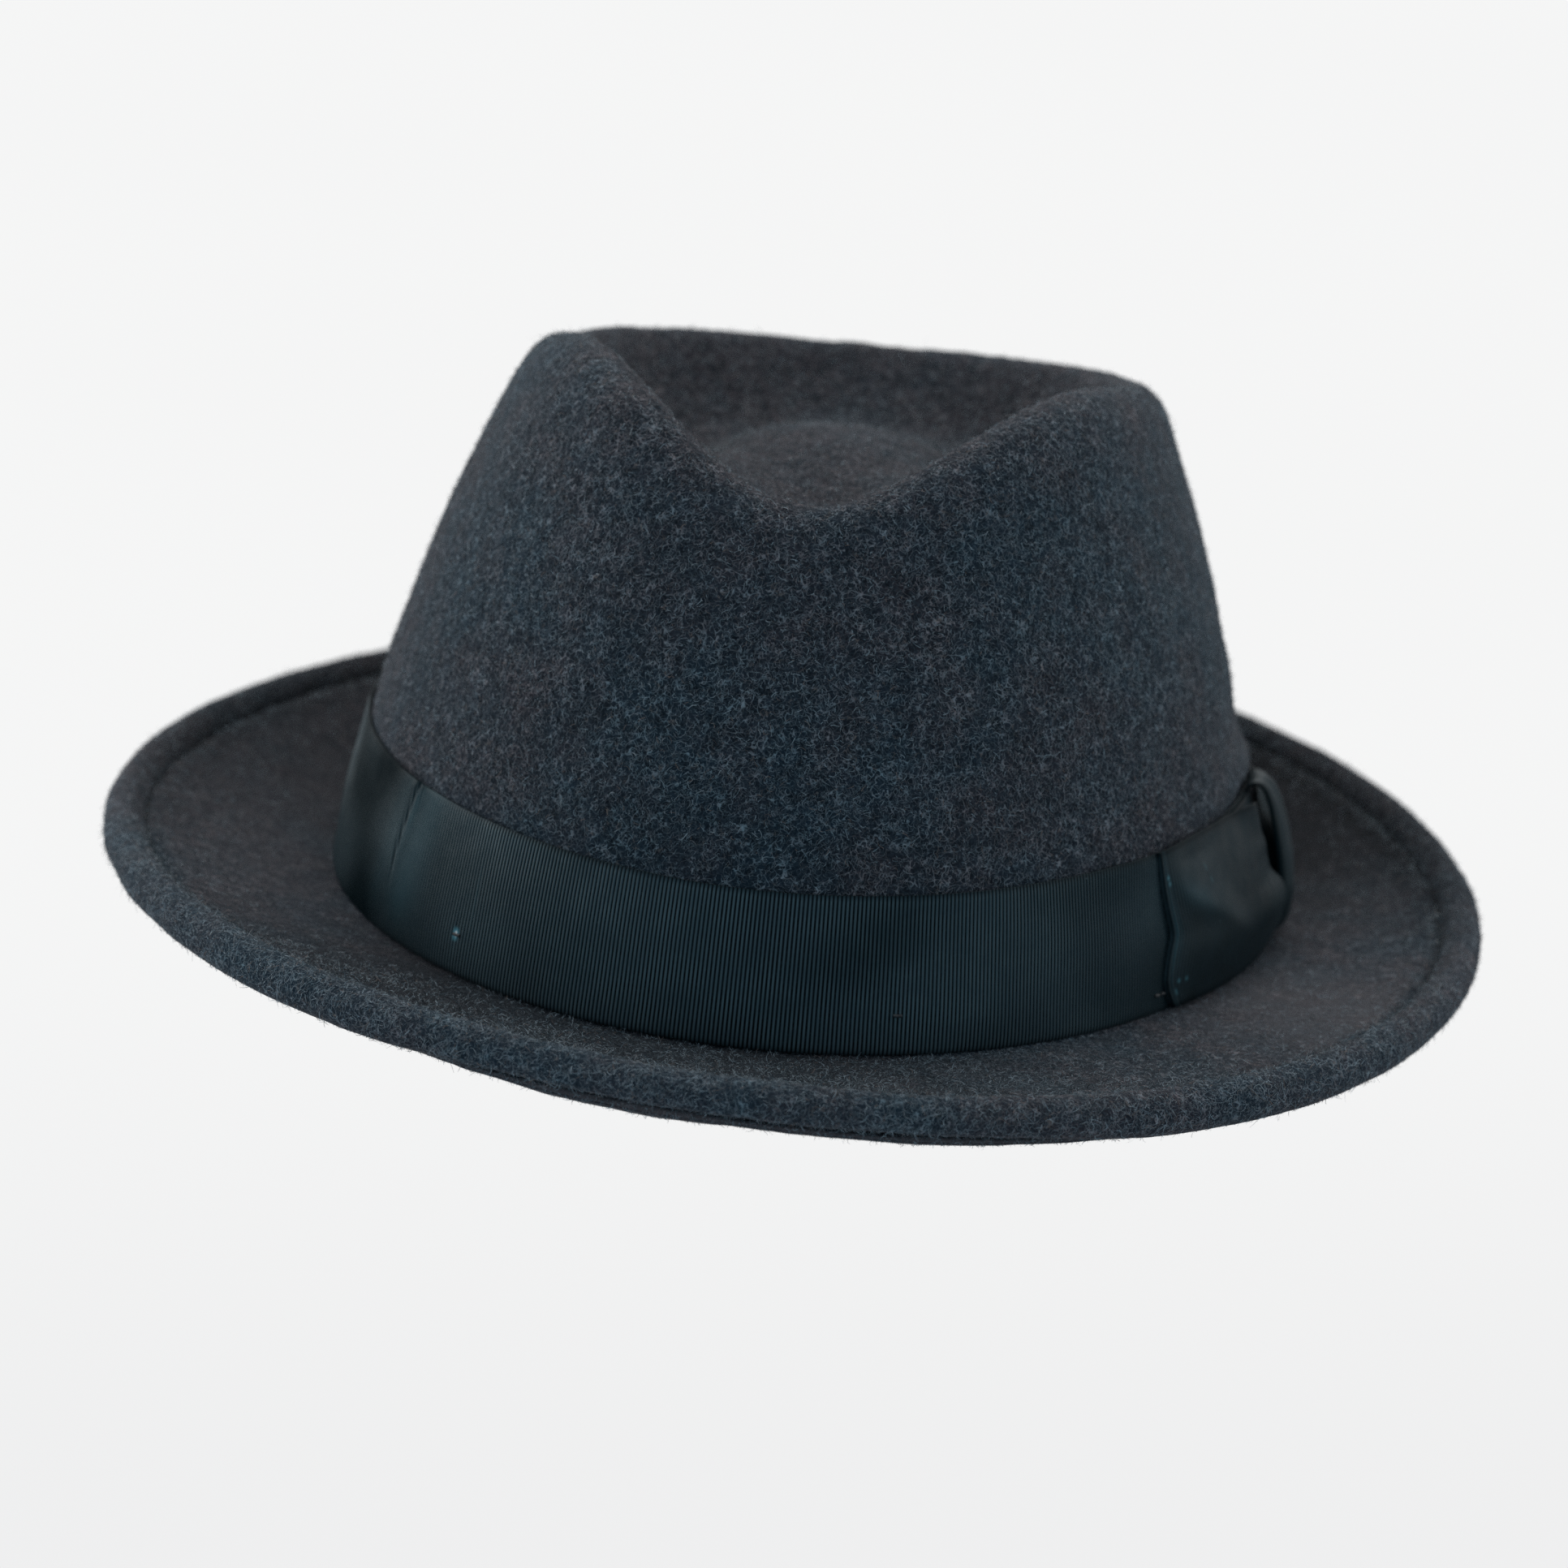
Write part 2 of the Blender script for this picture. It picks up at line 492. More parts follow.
def plain_weave(name, a, bcol, scale=1400.0, rough=0.8):
    N = Nodes(name)
    co = N.n("ShaderNodeTexCoord").outputs["Object"]
    w1 = N.n("ShaderNodeTexWave", {"bands_direction": "X"}, Vector=co, Scale=scale * 0.16, Distortion=0.4)
    w2 = N.n("ShaderNodeTexWave", {"bands_direction": "Z"}, Vector=co, Scale=scale * 0.16, Distortion=0.4)
    nz = N.noise(co, scale, 2.0)
    c = N.mix(N.m("MULTIPLY", w1.outputs["Fac"], w2.outputs["Fac"]), a, bcol)
    c = N.mix(N.ramp(nz.outputs["Fac"], 0.4, 0.7, 0.0, 0.3), c, bcol)
    hgt = N.m("ADD", N.m("MAXIMUM", w1.outputs["Fac"], w2.outputs["Fac"]), N.m("MULTIPLY", nz.outputs["Fac"], 0.5))
    bump = N.n("ShaderNodeBump", Height=hgt, Strength=0.6, Distance=0.0001)
    b = N.n("ShaderNodeBsdfPrincipled", Base_Color=c, Roughness=rough, Normal=bump)
    N.set(b, "Sheen Weight", 0.15)
    return N.done(b)


def thread_material(name, a, bcol):
    N = Nodes(name)
    co = N.n("ShaderNodeTexCoord").outputs["Object"]
    nz = N.noise(co, 1800.0, 3.0, 0.6)
    tw = N.n("ShaderNodeTexWave", {"bands_direction": "DIAGONAL"}, Vector=co, Scale=420.0, Distortion=0.5)
    c = N.mix(N.m("MULTIPLY", tw.outputs["Fac"], 0.7), a, bcol)
    c = N.mix(N.ramp(nz.outputs["Fac"], 0.4, 0.7, 0.0, 0.4), c, a)
    bump = N.n("ShaderNodeBump", Height=tw.outputs["Fac"], Strength=0.6, Distance=0.00008)
    b = N.n("ShaderNodeBsdfPrincipled", Base_Color=c, Roughness=0.6, Normal=bump)
    return N.done(b)


def paper_material(name, a, bcol):
    N = Nodes(name)
    co = N.n("ShaderNodeTexCoord").outputs["Object"]
    f = N.noise(co, 900.0, 5.0, 0.65)
    s = N.noise(co, 70.0, 2.0)
    c = N.mix(N.ramp(f.outputs["Fac"], 0.35, 0.7), a, bcol)
    c = N.mix(N.ramp(s.outputs["Fac"], 0.4, 0.8, 0.0, 0.3), c, tuple(x * 0.8 for x in a))
    bump = N.n("ShaderNodeBump", Height=f.outputs["Fac"], Strength=0.4, Distance=0.0001)
    return N.done(N.n("ShaderNodeBsdfPrincipled", Base_Color=c, Roughness=0.85, Normal=bump))


def plastic_material():
    N = Nodes("reed_look")
    co = N.n("ShaderNodeTexCoord").outputs["Object"]
    f = N.noise(co, 300.0, 3.0)
    c = N.mix(f.outputs["Fac"], (0.42, 0.40, 0.33), (0.52, 0.50, 0.43))
    bump = N.n("ShaderNodeBump", Height=f.outputs["Fac"], Strength=0.15, Distance=0.0001)
    return N.done(N.n("ShaderNodeBsdfPrincipled", Base_Color=c, Roughness=0.45, Normal=bump))


FELT = felt_material()
FUZZ = fuzz_material()
RIBBON = ribbon_material()
LEATHER = leather_material()
SATIN = satin_material()
DARK_THREAD = thread_material("dark_thread_look", (0.008, 0.010, 0.012), (0.030, 0.036, 0.042))
PALE_THREAD = thread_material("pale_thread_look", (0.36, 0.29, 0.19), (0.52, 0.45, 0.33))
TAPE = plain_weave("dark_tape_look", (0.010, 0.010, 0.012), (0.030, 0.030, 0.034))
PIPING = plain_weave("piping_look", (0.010, 0.012, 0.016), (0.028, 0.032, 0.042), rough=0.5)
TICKET = paper_material("ticket_look", (0.66, 0.63, 0.56), (0.74, 0.72, 0.66))
LABEL = plain_weave("label_look", (0.60, 0.60, 0.57), (0.74, 0.74, 0.71))
REED = plastic_material()

# =====================================================================================
# Felt: crown, brim, rolled edge and turned-under welt as one continuous shell
# =====================================================================================
NTF = 480
tt = np.arange(NTF) * 360.0 / NTF


def crown_rows(us):
    return [skin(np.full(NTF, u), tt) for u in us]


def even_rows(us, count):
    """re-space rows so that their mean spacing along the section is even"""
    U = np.linspace(us[0], us[1], 400)
    T = np.array([0.0, 60.0, 120.0, 180.0, 240.0, 300.0])
    L = np.zeros(400)
    for t in T:
        p = skin(U, np.full(400, t))
        L[1:] += np.cumsum(np.linalg.norm(np.diff(p, axis=0), axis=1))
    return np.interp(np.linspace(0, L[-1], count), L, U)


lump = waves(11, 26, 9.0, 30.0)
lump2 = waves(12, 26, 3.5, 8.0)


def edge_wob(t):
    """slow unevenness of the hand-rolled edge"""
    return 0.45 * np.sin(3 * t * D2R + 1.0) + 0.25 * np.sin(7 * t * D2R + 2.2) + 0.18 * np.sin(13 * t * D2R + 0.4) + 0.10 * np.sin(29 * t * D2R)


n_outer = 88
us_out = even_rows((15.75, 0.95), n_outer)
rows, tags = [], []      # tags: 0 outer crown, 1 brim top, 2 roll, 3 underside, 4 inside crown
for u in us_out:
    rows.append(skin(np.full(NTF, u), tt)); tags.append(0)
rows.append(brim_pt(tt, 0.10, base_z(tt) + 0.75)); tags.append(1)
rows.append(brim_pt(tt, 0.55, base_z(tt) + 0.25)); tags.append(1)
W = brim_w(tt)
Rt = W - WELT + ER
at = np.abs(wrap(tt))
slim = 0.42 * sstep(40, 95, at)            # the roll is a little slimmer at the sides and back
wob = edge_wob(tt)
er = ER + 0.16 * wob - slim
rc = W + slim - er                         # inner side of the roll
zc_ = edge_z(tt) + slim
for k in np.linspace(0.045, 1.0, 16):
    r = k * (W - 6.9)
    z = brim_z(tt, r) - 0.25 * k ** 4
    rows.append(brim_pt(tt, r, z)); tags.append(1)
crease_row = len(rows)
rows.append(brim_pt(tt, rc - 1.05, edge_z(tt) + 0.80)); tags.append(1)
rows.append(brim_pt(tt, rc - 0.45, edge_z(tt) + 0.38)); tags.append(1)
rows.append(brim_pt(tt, rc - 0.05, edge_z(tt) - 0.05)); tags.append(2)
# the turned-under felt: its raw edge shows as a thin strip below the roll at the front
lf = np.exp(-((wrap(tt - 2) / 27.0) ** 4))
low = 1.9 * lf
roll_row = len(rows)
roll_a = np.linspace(172, -100, 25)
for a in roll_a:
    ea = er - low * sstep(0, -70, a)
    rows.append(brim_pt(tt, W + slim + ea * math.cos(a * D2R), zc_ + ea * math.sin(a * D2R))); tags.append(2)
wv = 0.35 * np.sin(11 * tt * D2R + .7) + 0.3 * np.sin(23 * tt * D2R) + 0.2 * np.sin(41 * tt * D2R + 2)
zb_ = edge_z(tt) - ER
rw = W - 2.3 - 0.30 * wv
drop = 0.25 + 0.85 * np.exp(-((wrap(tt - 6) / 30.0) ** 4)) + 0.5 * np.exp(-((wrap(tt + 11) / 9.0) ** 2))
strip_row = len(rows)
for r, z in ((W - 2.4 - 0.2 * wv, zb_ + 0.95 + 0.65 * low), (rw - 0.75, zb_ + 0.75 + 0.6 * low), (rw - 0.55, zb_ + 0.15 + 0.65 * lf),
             (rw - 0.25, zb_ + 0.05 + 0.38 * lf), (rw + 0.28, zb_ - 0.03 + 0.22 * lf), (rw + 0.32, zb_ - np.maximum(drop * 0.42, 0.1)),
             (rw + 0.10, zb_ - np.maximum(drop * 0.50, 0.12)), (rw + 0.22, zb_ - np.maximum(drop * 0.66, 0.14)), (rw - 0.20, zb_ - drop),
             (rw - 1.0, zb_ - drop - 0.08), (rw - 2.6, zb_ - 0.55 * drop - 0.05)):
    rows.append(brim_pt(tt, r, z)); tags.append(3)
r = Rt + 0.9 + wv
rows.append(brim_pt(tt, r, brim_z(tt, r) - 2 * TH + 0.1)); tags.append(3)
r = Rt + wv
rows.append(brim_pt(tt, r, brim_z(tt, r) - 2 * TH + 0.25)); tags.append(3)
rows.append(brim_pt(tt, r - 0.15, brim_z(tt, r) - 2 * TH + 0.8)); tags.append(3)
rows.append(brim_pt(tt, r - 0.2, brim_z(tt, r) - TH - 0.1)); tags.append(3)
rows.append(brim_pt(tt, r - 0.8, brim_z(tt, r - 0.8) - TH)); tags.append(3)
for k in np.linspace(0.86, 0.05, 14):
    r = k * (W - WELT + 4)
    rows.append(brim_pt(tt, r, brim_z(tt, r) - TH)); tags.append(3)
rows.append(brim_pt(tt, 0.4, base_z(tt) - TH + 0.05)); tags.append(3)
rows.append(brim_pt(tt, -0.9, base_z(tt) - TH + 0.45)); tags.append(3)
rows.append(brim_pt(tt, -1.9, base_z(tt) - 1.1)); tags.append(4)
for u in even_rows((1.0, 15.5), 34):
    rows.append(off_skin(np.full(NTF, u), tt, np.full(NTF, -TH))); tags.append(4)
G = np.array(rows)
tags = np.array(tags)
m = len(G)
# unevenness of blocked felt, fading to nothing under the hatband and inside
h = 0.16 * lump(G) + 0.07 * lump2(G)
fade = np.ones(G.shape[:2])
zrel = G[..., 2] - base_z(tt)[None]
fade[tags == 0] *= sstep(31.5, 40, zrel[tags == 0])
fade[tags == 4] = 0
swell = 2.2 * np.exp(-(wrap(tt - 99.0) / 20.0) ** 2)[None] * sstep(29.9, 32.0, zrel) * (1 - sstep(32.2, 40.5, zrel)) * (tags == 0)[:, None]
fade[tags == 3] *= 0.6
fade[tags == 2] *= 0.6
rr = np.hypot(G[..., 0] / HW, G[..., 1] / HL)
for i in np.where(tags == 1)[0]:
    fade[i] *= sstep(1.03, 1.10, rr[i])
du = np.roll(G, -1, 1) - np.roll(G, 1, 1)
dv = np.gradient(G, axis=0)
Nn = np.cross(du, dv)
Nn /= np.maximum(np.linalg.norm(Nn, axis=-1, keepdims=True), 1e-9)
# make sure the normals point out of the felt: at the outer crown rows they must face outwards
mid = G[len(us_out) // 2 + 10]
sgn = np.sign(((mid - np.array([0, 0, 40.0])) * Nn[len(us_out) // 2 + 10]).sum())
Nn *= sgn
G = G + (h * fade + swell)[..., None] * Nn
pole0 = np.array([[COX, CY0, DOME]]) + 0.0
pole1 = np.array([[COX, CY0, DOME - TH]])
V = np.concatenate([pole0, G.reshape(-1, 3), pole1])
jj = np.arange(NTF)
tri0 = np.stack([np.zeros(NTF, int), 1 + jj, 1 + (jj + 1) % NTF], -1)
tri1 = np.stack([np.full(NTF, len(V) - 1), 1 + (m - 1) * NTF + (jj + 1) % NTF, 1 + (m - 1) * NTF + jj], -1)
felt = mesh_object("felt_shell", V, [tri0, quads(m, NTF, True, True, base=1), tri1], FELT)
fix_normals(felt)
add_rest(felt)
# where the felt looks browner: the brim's top, the flanks and the inside of the crown's crease
wm = np.zeros((m, NTF))
side = sstep(55, 110, at)
for i in range(m):
    if tags[i] == 0:
        wm[i] = np.maximum(0.10 + 0.75 * sstep(7.2, 9.6, us_out[i]), 0.42 * sstep(-25, -80, wrap(tt)) + 0.30 * sstep(30, 85, wrap(tt)))
    elif tags[i] == 1:
        rk = W - np.hypot(G[i, :, 0] - base_x(tt), G[i, :, 1] - base_y(tt))
        wm[i] = np.maximum(sstep(3.5, 9.0, rk) * (0.06 + 0.74 * sstep(18, 62, at)), 0.68 * side) * (1 - 0.50 * np.exp(-((wrap(tt) - 58) / 26) ** 2))
    elif tags[i] == 2:
        wm[i] = 0.22 + 0.50 * side
    elif tags[i] == 3:
        wm[i] = 0.9
for k, a in enumerate(roll_a):
    wm[roll_row + k] = np.maximum(wm[roll_row + k], 0.75 * sstep(-15, -50, a))
add_float(felt, "warm", np.concatenate([[0.95], (wm * 0.95 + 0.02).ravel(), [0.5]]))
dk = np.zeros((m, NTF))
far = 0.12 + 0.88 * sstep(60, 100, at)
dk[crease_row] = 0.35 * far; dk[crease_row + 1] = 0.70 * far; dk[crease_row + 2] = 0.95 * far
for i in range(m):
    if tags[i] == 0:
        dk[i] = 0.18 * sstep(8.0, 9.0, us_out[i]) * (1 - sstep(11.0, 12.0, us_out[i])) * sstep(60, 120, at)
    elif tags[i] == 1 and i < crease_row:
        rk = W - np.hypot(G[i, :, 0] - base_x(tt), G[i, :, 1] - base_y(tt))
        # the brim is darker where the crown stands over it, and at the back under its own roll
        tw = wrap(tt)
        dk[i] = (0.85 * sstep(40, 4, tw) * sstep(-66, -34, tw) * sstep(2, 9, rk) + 0.16 * np.exp(-(W - rk) / 9.0) * sstep(25, 60, at)
                 + np.where(tw > 0, 0.95 * sstep(76, 118, at) - 0.50 * np.exp(-((tw - 66) / 13) ** 2), 0.62 * sstep(60, 114, at))
                 + 0.30 * sstep(11.0, 6.0, rk) * sstep(68, 105, at))
for k in range(3):
    dk[crease_row + k] = np.maximum(dk[crease_row + k], dk[crease_row - 1] + 0.1 * k * far)
for k, a in enumerate(roll_a):
    dk[roll_row + k] = 0.82 * sstep(66, 115, at) * sstep(45, 110, a) + 0.25 * sstep(160, 172, a) * far + 0.18 * sstep(-20, -70, a) + 0.50 * sstep(76, 112, at) * sstep(115, 60, a)
for k, v in enumerate((0.6, 1.0, 1.0, 0.80, -0.5, -0.6, 0.50, -0.7, -0.3)):
    dk[strip_row + k] = v
add_float(felt, "shade", np.concatenate([[0], dk.ravel(), [0]]))
add_float(felt, "calm", np.concatenate([[0], np.repeat(np.where(tags == 2, 1.0, np.where(tags == 3, 0.6, 0.0)), NTF), [0]]))
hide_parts("felt_body", "front_brim")
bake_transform(felt)

# ---- loose fibres standing on the felt ------------------------------------------------


def fibres(name, P, Nv, rs, length, width, lift, body, seg=3, tone_hi=1.0):
    """thin curved ribbons of felt fibre rooted at P, lying close to the surface with normal Nv"""
    n = len(P)
    d = rs.normal(size=(n, 3))
    d -= (d * Nv).sum(1, keepdims=True) * Nv
    d /= np.linalg.norm(d, axis=1, keepdims=True)
    e = np.cross(Nv, d)
    L = length[0] + (length[1] - length[0]) * rs.rand(n) ** 2.2
    up = lift[0] + (lift[1] - lift[0]) * rs.rand(n) ** 2.5
    curl = rs.normal(size=n) * 1.1
    back = rs.rand(n)
    pts = []
    pos = P - 0.05 * Nv
    step = (L / seg)[:, None]
    pts.append(pos)
    for k in range(seg):
        f = (k + 0.5) / seg
        ang = curl * (f - 0.2) * 1.6
        dirv = np.cos(ang)[:, None] * d + np.sin(ang)[:, None] * e
        el = up * (1.0 - 1.3 * back * f)
        dirv = np.cos(el)[:, None] * dirv + np.sin(el)[:, None] * Nv
        pos = pos + dirv * step
        pts.append(pos)
    pts = np.array(pts)                                   # (seg+1, n, 3)
    w = width * (0.7 + 0.6 * rs.rand(n))
    side = np.cross(np.gradient(pts, axis=0), Nv[None] + 0.6 * rs.normal(size=(n, 3))[None])
    side /= np.maximum(np.linalg.norm(side, axis=-1, keepdims=True), 1e-9)
    taper = np.array([1.0, 0.95, 0.75, 0.35]) if seg == 3 else np.linspace(1, 0.3, seg + 1)
    a = pts - side * (w[None, :, None] * 0.5 * taper[:, None, None])
    b = pts + side * (w[None, :, None] * 0.5 * taper[:, None, None])
    V = np.stack([a, b], 2).transpose(1, 0, 2, 3).reshape(-1, 3)   # n, seg+1, 2
    base = (np.arange(n) * (seg + 1) * 2)[:, None]
    k = np.arange(seg)[None, :] * 2
    F = np.stack([base + k, base + k + 1, base + k + 3, base + k + 2], -1).reshape(-1, 4)
    ob = mesh_object(name, V, [F], FUZZ)
    add_float(ob, "tone", np.repeat(rs.rand(n) * tone_hi, (seg + 1) * 2))
    if body is None:
        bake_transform(ob)
    else:
        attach(ob, body)
    return ob


def sample_surface(n, rs, rowsel, extra=None):
    """random points on chosen quads of the felt grid, evenly by area"""
    idx = np.where(rowsel)[0]
    idx = idx[idx < m - 1]
    A, B = G[idx], G[idx + 1]
    quad = np.stack([A, np.roll(A, -1, 1), np.roll(B, -1, 1), B], 2)
    area = np.linalg.norm(np.cross(quad[:, :, 2] - quad[:, :, 0], quad[:, :, 3] - quad[:, :, 1]), axis=-1) * 0.5
    if extra is not None:
        area = area * extra(quad.mean(2))
    pr = area.ravel() / area.sum()
    pick = rs.choice(len(pr), size=n, p=pr)
    i, j = np.unravel_index(pick, area.shape)
    a, b = rs.rand(n, 1), rs.rand(n, 1)
    q = quad[i, j]
    P = (q[:, 0] * (1 - a) + q[:, 1] * a) * (1 - b) + (q[:, 3] * (1 - a) + q[:, 2] * a) * b
    Nv = Nn[idx[i], j]
    return P, Nv


def above_band(c):
    z = c[..., 2] - base_z(np.degrees(np.arctan2(c[..., 0], -c[..., 1])))
    return (z > 33.2).astype(float)


rs = np.random.RandomState(5)
q = 1.0


def roll_more(c):
    e = np.hypot(c[..., 0] / BW, (c[..., 1] + 1.94) / BL)
    return np.where(c[..., 2] < edge_z(np.degrees(np.arctan2(c[..., 0], -c[..., 1]))) - 3.5, 0.22 + 0.38 * (e > 0.955), 0.75 + 1.0 * (e > 0.955))


for k in range(3):
    P, Nv = sample_surface(int(30000 * q), rs, tags == 0, above_band)
    fibres("felt_fibres_crown_%d" % (k + 1), P, Nv, rs, (0.5, 2.1), 0.095, (0.02, 0.75), "hat")
for k in range(3):
    P, Nv = sample_surface(int(30000 * q), rs, (tags == 1) | (tags == 2) | (tags == 3), roll_more)
    fibres("felt_fibres_brim_%d" % (k + 1), P, Nv, rs, (0.5, 2.1), 0.095, (0.02, 0.75), None)
P, Nv = sample_surface(int(14000 * q), rs, (tags == 1) | (tags == 2), lambda c: (c[..., 1] < -88) * (np.hypot(c[..., 0] / BW, (c[..., 1] + 1.94) / BL) < 0.985) + 0.0)
fibres("felt_fibres_brim_4", P, Nv, rs, (0.5, 1.9), 0.085, (0.25, 1.2), None, tone_hi=0.95)
P, Nv = sample_surface(int(5200 * q), rs, tags == 2, lambda c: (c[..., 1] < -40) * (c[..., 2] > edge_z(np.degrees(np.arctan2(c[..., 0], -c[..., 1]))) - 1.2) + 0.0)
fibres("felt_fibres_brim_5", P, Nv, rs, (1.6, 3.8), 0.080, (0.04, 0.55), None, seg=6, tone_hi=0.97)
strip_sel = np.zeros(m, bool)
strip_sel[strip_row + 2:strip_row + 8] = True
P, Nv = sample_surface(int(3600 * q), rs, strip_sel, lambda c: (c[..., 1] < -85) + 0.0)
fibres("felt_fibres_strip", P, Nv, rs, (0.4, 1.3), 0.080, (0.02, 0.30), None, tone_hi=0.92)
P, Nv = sample_surface(int(700 * q), rs, (tags <= 2), lambda c: above_band(c) + (np.hypot(c[..., 0] / HW, c[..., 1] / HL) > 1.05))
fibres("felt_stray_hairs", P, Nv, rs, (2.5, 6.0), 0.06, (0.05, 0.7), None, seg=6, tone_hi=0.9)

tuft_at = [(-2.5, 9.0, 1.3, 70), (-46.0, 10.5, 0.9, 26), (14.0, 13.0, 0.8, 22), (31.0, 16.0, 0.8, 20), (-20.0, 12.0, 0.7, 18), (70.0, 20.0, 0.9, 24), (150.0, 16.0, 0.9, 24), (-120.0, 18.0, 0.9, 24)]
Pp, Np = [], []
for t0, back_, spread, cnt in tuft_at:
    tq = np.array([t0])
    r0 = brim_w(tq) - back_
    c0 = brim_pt(tq, r0, brim_z(tq, r0))[0]
    d0 = rs.normal(size=(cnt, 3)) * spread * np.array([1.6, 1.0, 0.12])
    Pp.append(c0 + d0 + np.array([0, 0, 0.15])); Np.append(np.tile([[0.0, -0.15, 0.98]], (cnt, 1)))
fibres("felt_tufts", np.concatenate(Pp), np.concatenate(Np), rs, (1.0, 2.6), 0.085, (0.1, 1.0), None, seg=6, tone_hi=0.89)

# =====================================================================================
# Hatband: grosgrain with its cords as real ridges
# =====================================================================================
PITCH = 0.7714
per = np.linalg.norm(np.diff(off_skin(np.full(2001, 2.0), np.linspace(0, 360, 2001), np.full(2001, 1.0)), axis=0), axis=1)
arc = np.concatenate([[0], np.cumsum(per)])
NRIB = int(round(arc[-1] / PITCH))
spr = 6
NB = NRIB * spr
tb = np.interp(np.arange(NB) / NB * arc[-1], arc, np.linspace(0, 360, 2001))
ph = (np.arange(NB) % spr) / spr
ribh = np.abs(np.sin(math.pi * ph)) ** 0.7                 # 0 in the groove, 1 on the cord
# height of band rows above the brim break, in mm
uu = np.linspace(0.6, 3.4, 200)
zz0 = skin(uu, np.full(200, 45.0))[:, 2] - base_z(np.array([45.0]))[0]


def u_of(z):
    return np.interp(z, zz0, uu)


def top_of_band(t):
    return 30.2 - 1.27 * cd(t)


vrow = np.array([0.0, 0.007, 0.018, 0.04, 0.08, 0.20, 0.25, 0.30, 0.50, 0.62, 0.76, 0.90, 0.955, 0.978, 0.992, 1.0])
band_wave = waves(31, 14, 22.0, 60.0)
TACK_T, TACK_Z = -38.2, 7.7


def band_off(t, z):
    """how far the ribbon stands off the felt: soft waves, a pressed crease and a tack's dimple"""
    p = np.stack([100 * sd(t), -118 * cd(t), z * 2.2 + 0 * t], -1)
    o = 0.20 * band_wave(p) * sstep(0, 6, z)
    o = o + 0.22
    tc = -52.0 + 0.13 * (z - 22) * 0.9
    lit = sstep(11, 15, z)
    dt = wrap(t - tc)
    o = o - 0.42 * lit * np.exp(-(dt / 0.30) ** 2) + 0.22 * lit * np.exp(-((dt - 0.9) / 0.55) ** 2) + 0.12 * lit * np.exp(-((dt + 0.9) / 0.6) ** 2)
    d2 = (wrap(t - TACK_T) * 1.7) ** 2 + (z - TACK_Z) ** 2
    o = o - 0.34 * np.exp(-d2 / 0.9) + 0.10 * np.exp(-d2 / 7.0)
    return o


# silky sheen and small light marks on the ribbon, near the pressed crease
def band_lite(t, z):
    tc = -52.0 + 0.13 * (z - 22) * 0.9
    dt = wrap(t - tc)
    l = 0.10 * np.exp(-((dt - 1.0) / 0.28) ** 2) * sstep(17, 20, z) * (1 - sstep(26, 29, z))
    l += 0.085 * np.exp(-((dt - 3.9) / 3.2) ** 2) * sstep(1, 9, z) + 0.030 * np.exp(-((dt + 2.2) / 1.8) ** 2) * sstep(1, 9, z)
    l += 0.05 * np.exp(-((dt - 1.6) / 0.20) ** 2) * sstep(20, 23, z) * (1 - sstep(27, 30, z))
    for a_, z_, h_ in ((-1.9, 27.0, 2.2), (-2.5, 25.0, 1.6), (-1.3, 20.0, 3.0), (-3.4, 11.0, 1.4)):
        l += 0.05 * np.exp(-(((dt - a_ - 0.05 * (z - z_)) / 0.14) ** 2 + ((z - z_) / h_) ** 2))
    l += 0.05 * np.exp(-((wrap(t + 36.2)) / 0.16) ** 2) * sstep(12, 15, z) * (1 - sstep(19, 23, z))
    l += 2.2 * np.exp(-((wrap(t - TACK_T + 0.15) * 1.7) ** 2 + (z - TACK_Z + 0.3) ** 2) / 0.34)
    return l


outer, zz_b = [], []
for v in vrow:
    z = 0.40 + v * (top_of_band(tb) - 0.40)
    sel = sstep(0.003, 0.03, v) * (1 - sstep(0.965, 0.99, v))
    o = GAP + 0.42 - 0.35 * np.exp(-z / 1.2) + band_off(tb, z) + ribh * 0.20 * (0.15 + 0.85 * sel)
    outer.append(off_skin(u_of(z), tb, o))
    zz_b.append(z)
inner = []
for v in (1.0, 0.5, 0.0):
    z = 0.45 + v * (top_of_band(tb) - 0.5)
    inner.append(off_skin(u_of(z), tb, GAP + np.maximum(band_off(tb, z) - 0.05, 0.02)))
R = np.array(outer + inner)
band = ring_mesh("hatband_ribbon", R, RIBBON)
fix_normals(band)
add_rest(band)
add_float(band, "rib", np.concatenate([np.tile(ribh, len(vrow)), np.zeros(NB * 3)]))
selv = np.concatenate([np.repeat(1 - sstep(0.003, 0.03, vrow) * (1 - sstep(0.965, 0.99, vrow)), NB), np.ones(NB * 3)])
add_float(band, "selvage", selv)
add_float(band, "lite", np.concatenate([np.concatenate([band_lite(tb, z) for z in zz_b]), np.zeros(NB * 3)]))


def band_dull(t, z):
    """parts of the ribbon that catch less light: round the left side, and soft slanting patches"""
    w = wrap(t)
    d = 0.74 * sstep(-52.5, -63, w) + 0.46 * sstep(-32, -46, w) * (1 - sstep(-57, -74, w))
    d += 0.45 * sstep(34, 44, w + 0.35 * (z - 15)) * (1 - sstep(150, 175, w))
    p = np.stack([70 * sd(t), -80 * cd(t), z + 0 * t], -1)
    return np.clip(d + 0.28 * band_patch(p), 0, 1)


band_patch = waves(33, 12, 16.0, 50.0)
add_float(band, "dull", np.concatenate([np.concatenate([band_dull(tb, z) for z in zz_b]), np.zeros(NB * 3)]))
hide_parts("hatband")
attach(band, "hat")

# =====================================================================================
# Bow: two flattened loops of the same ribbon, gathered under a wrapped knot
# =====================================================================================
KT, KS = 86.0, 7.0      # where the knot starts and the angle it covers


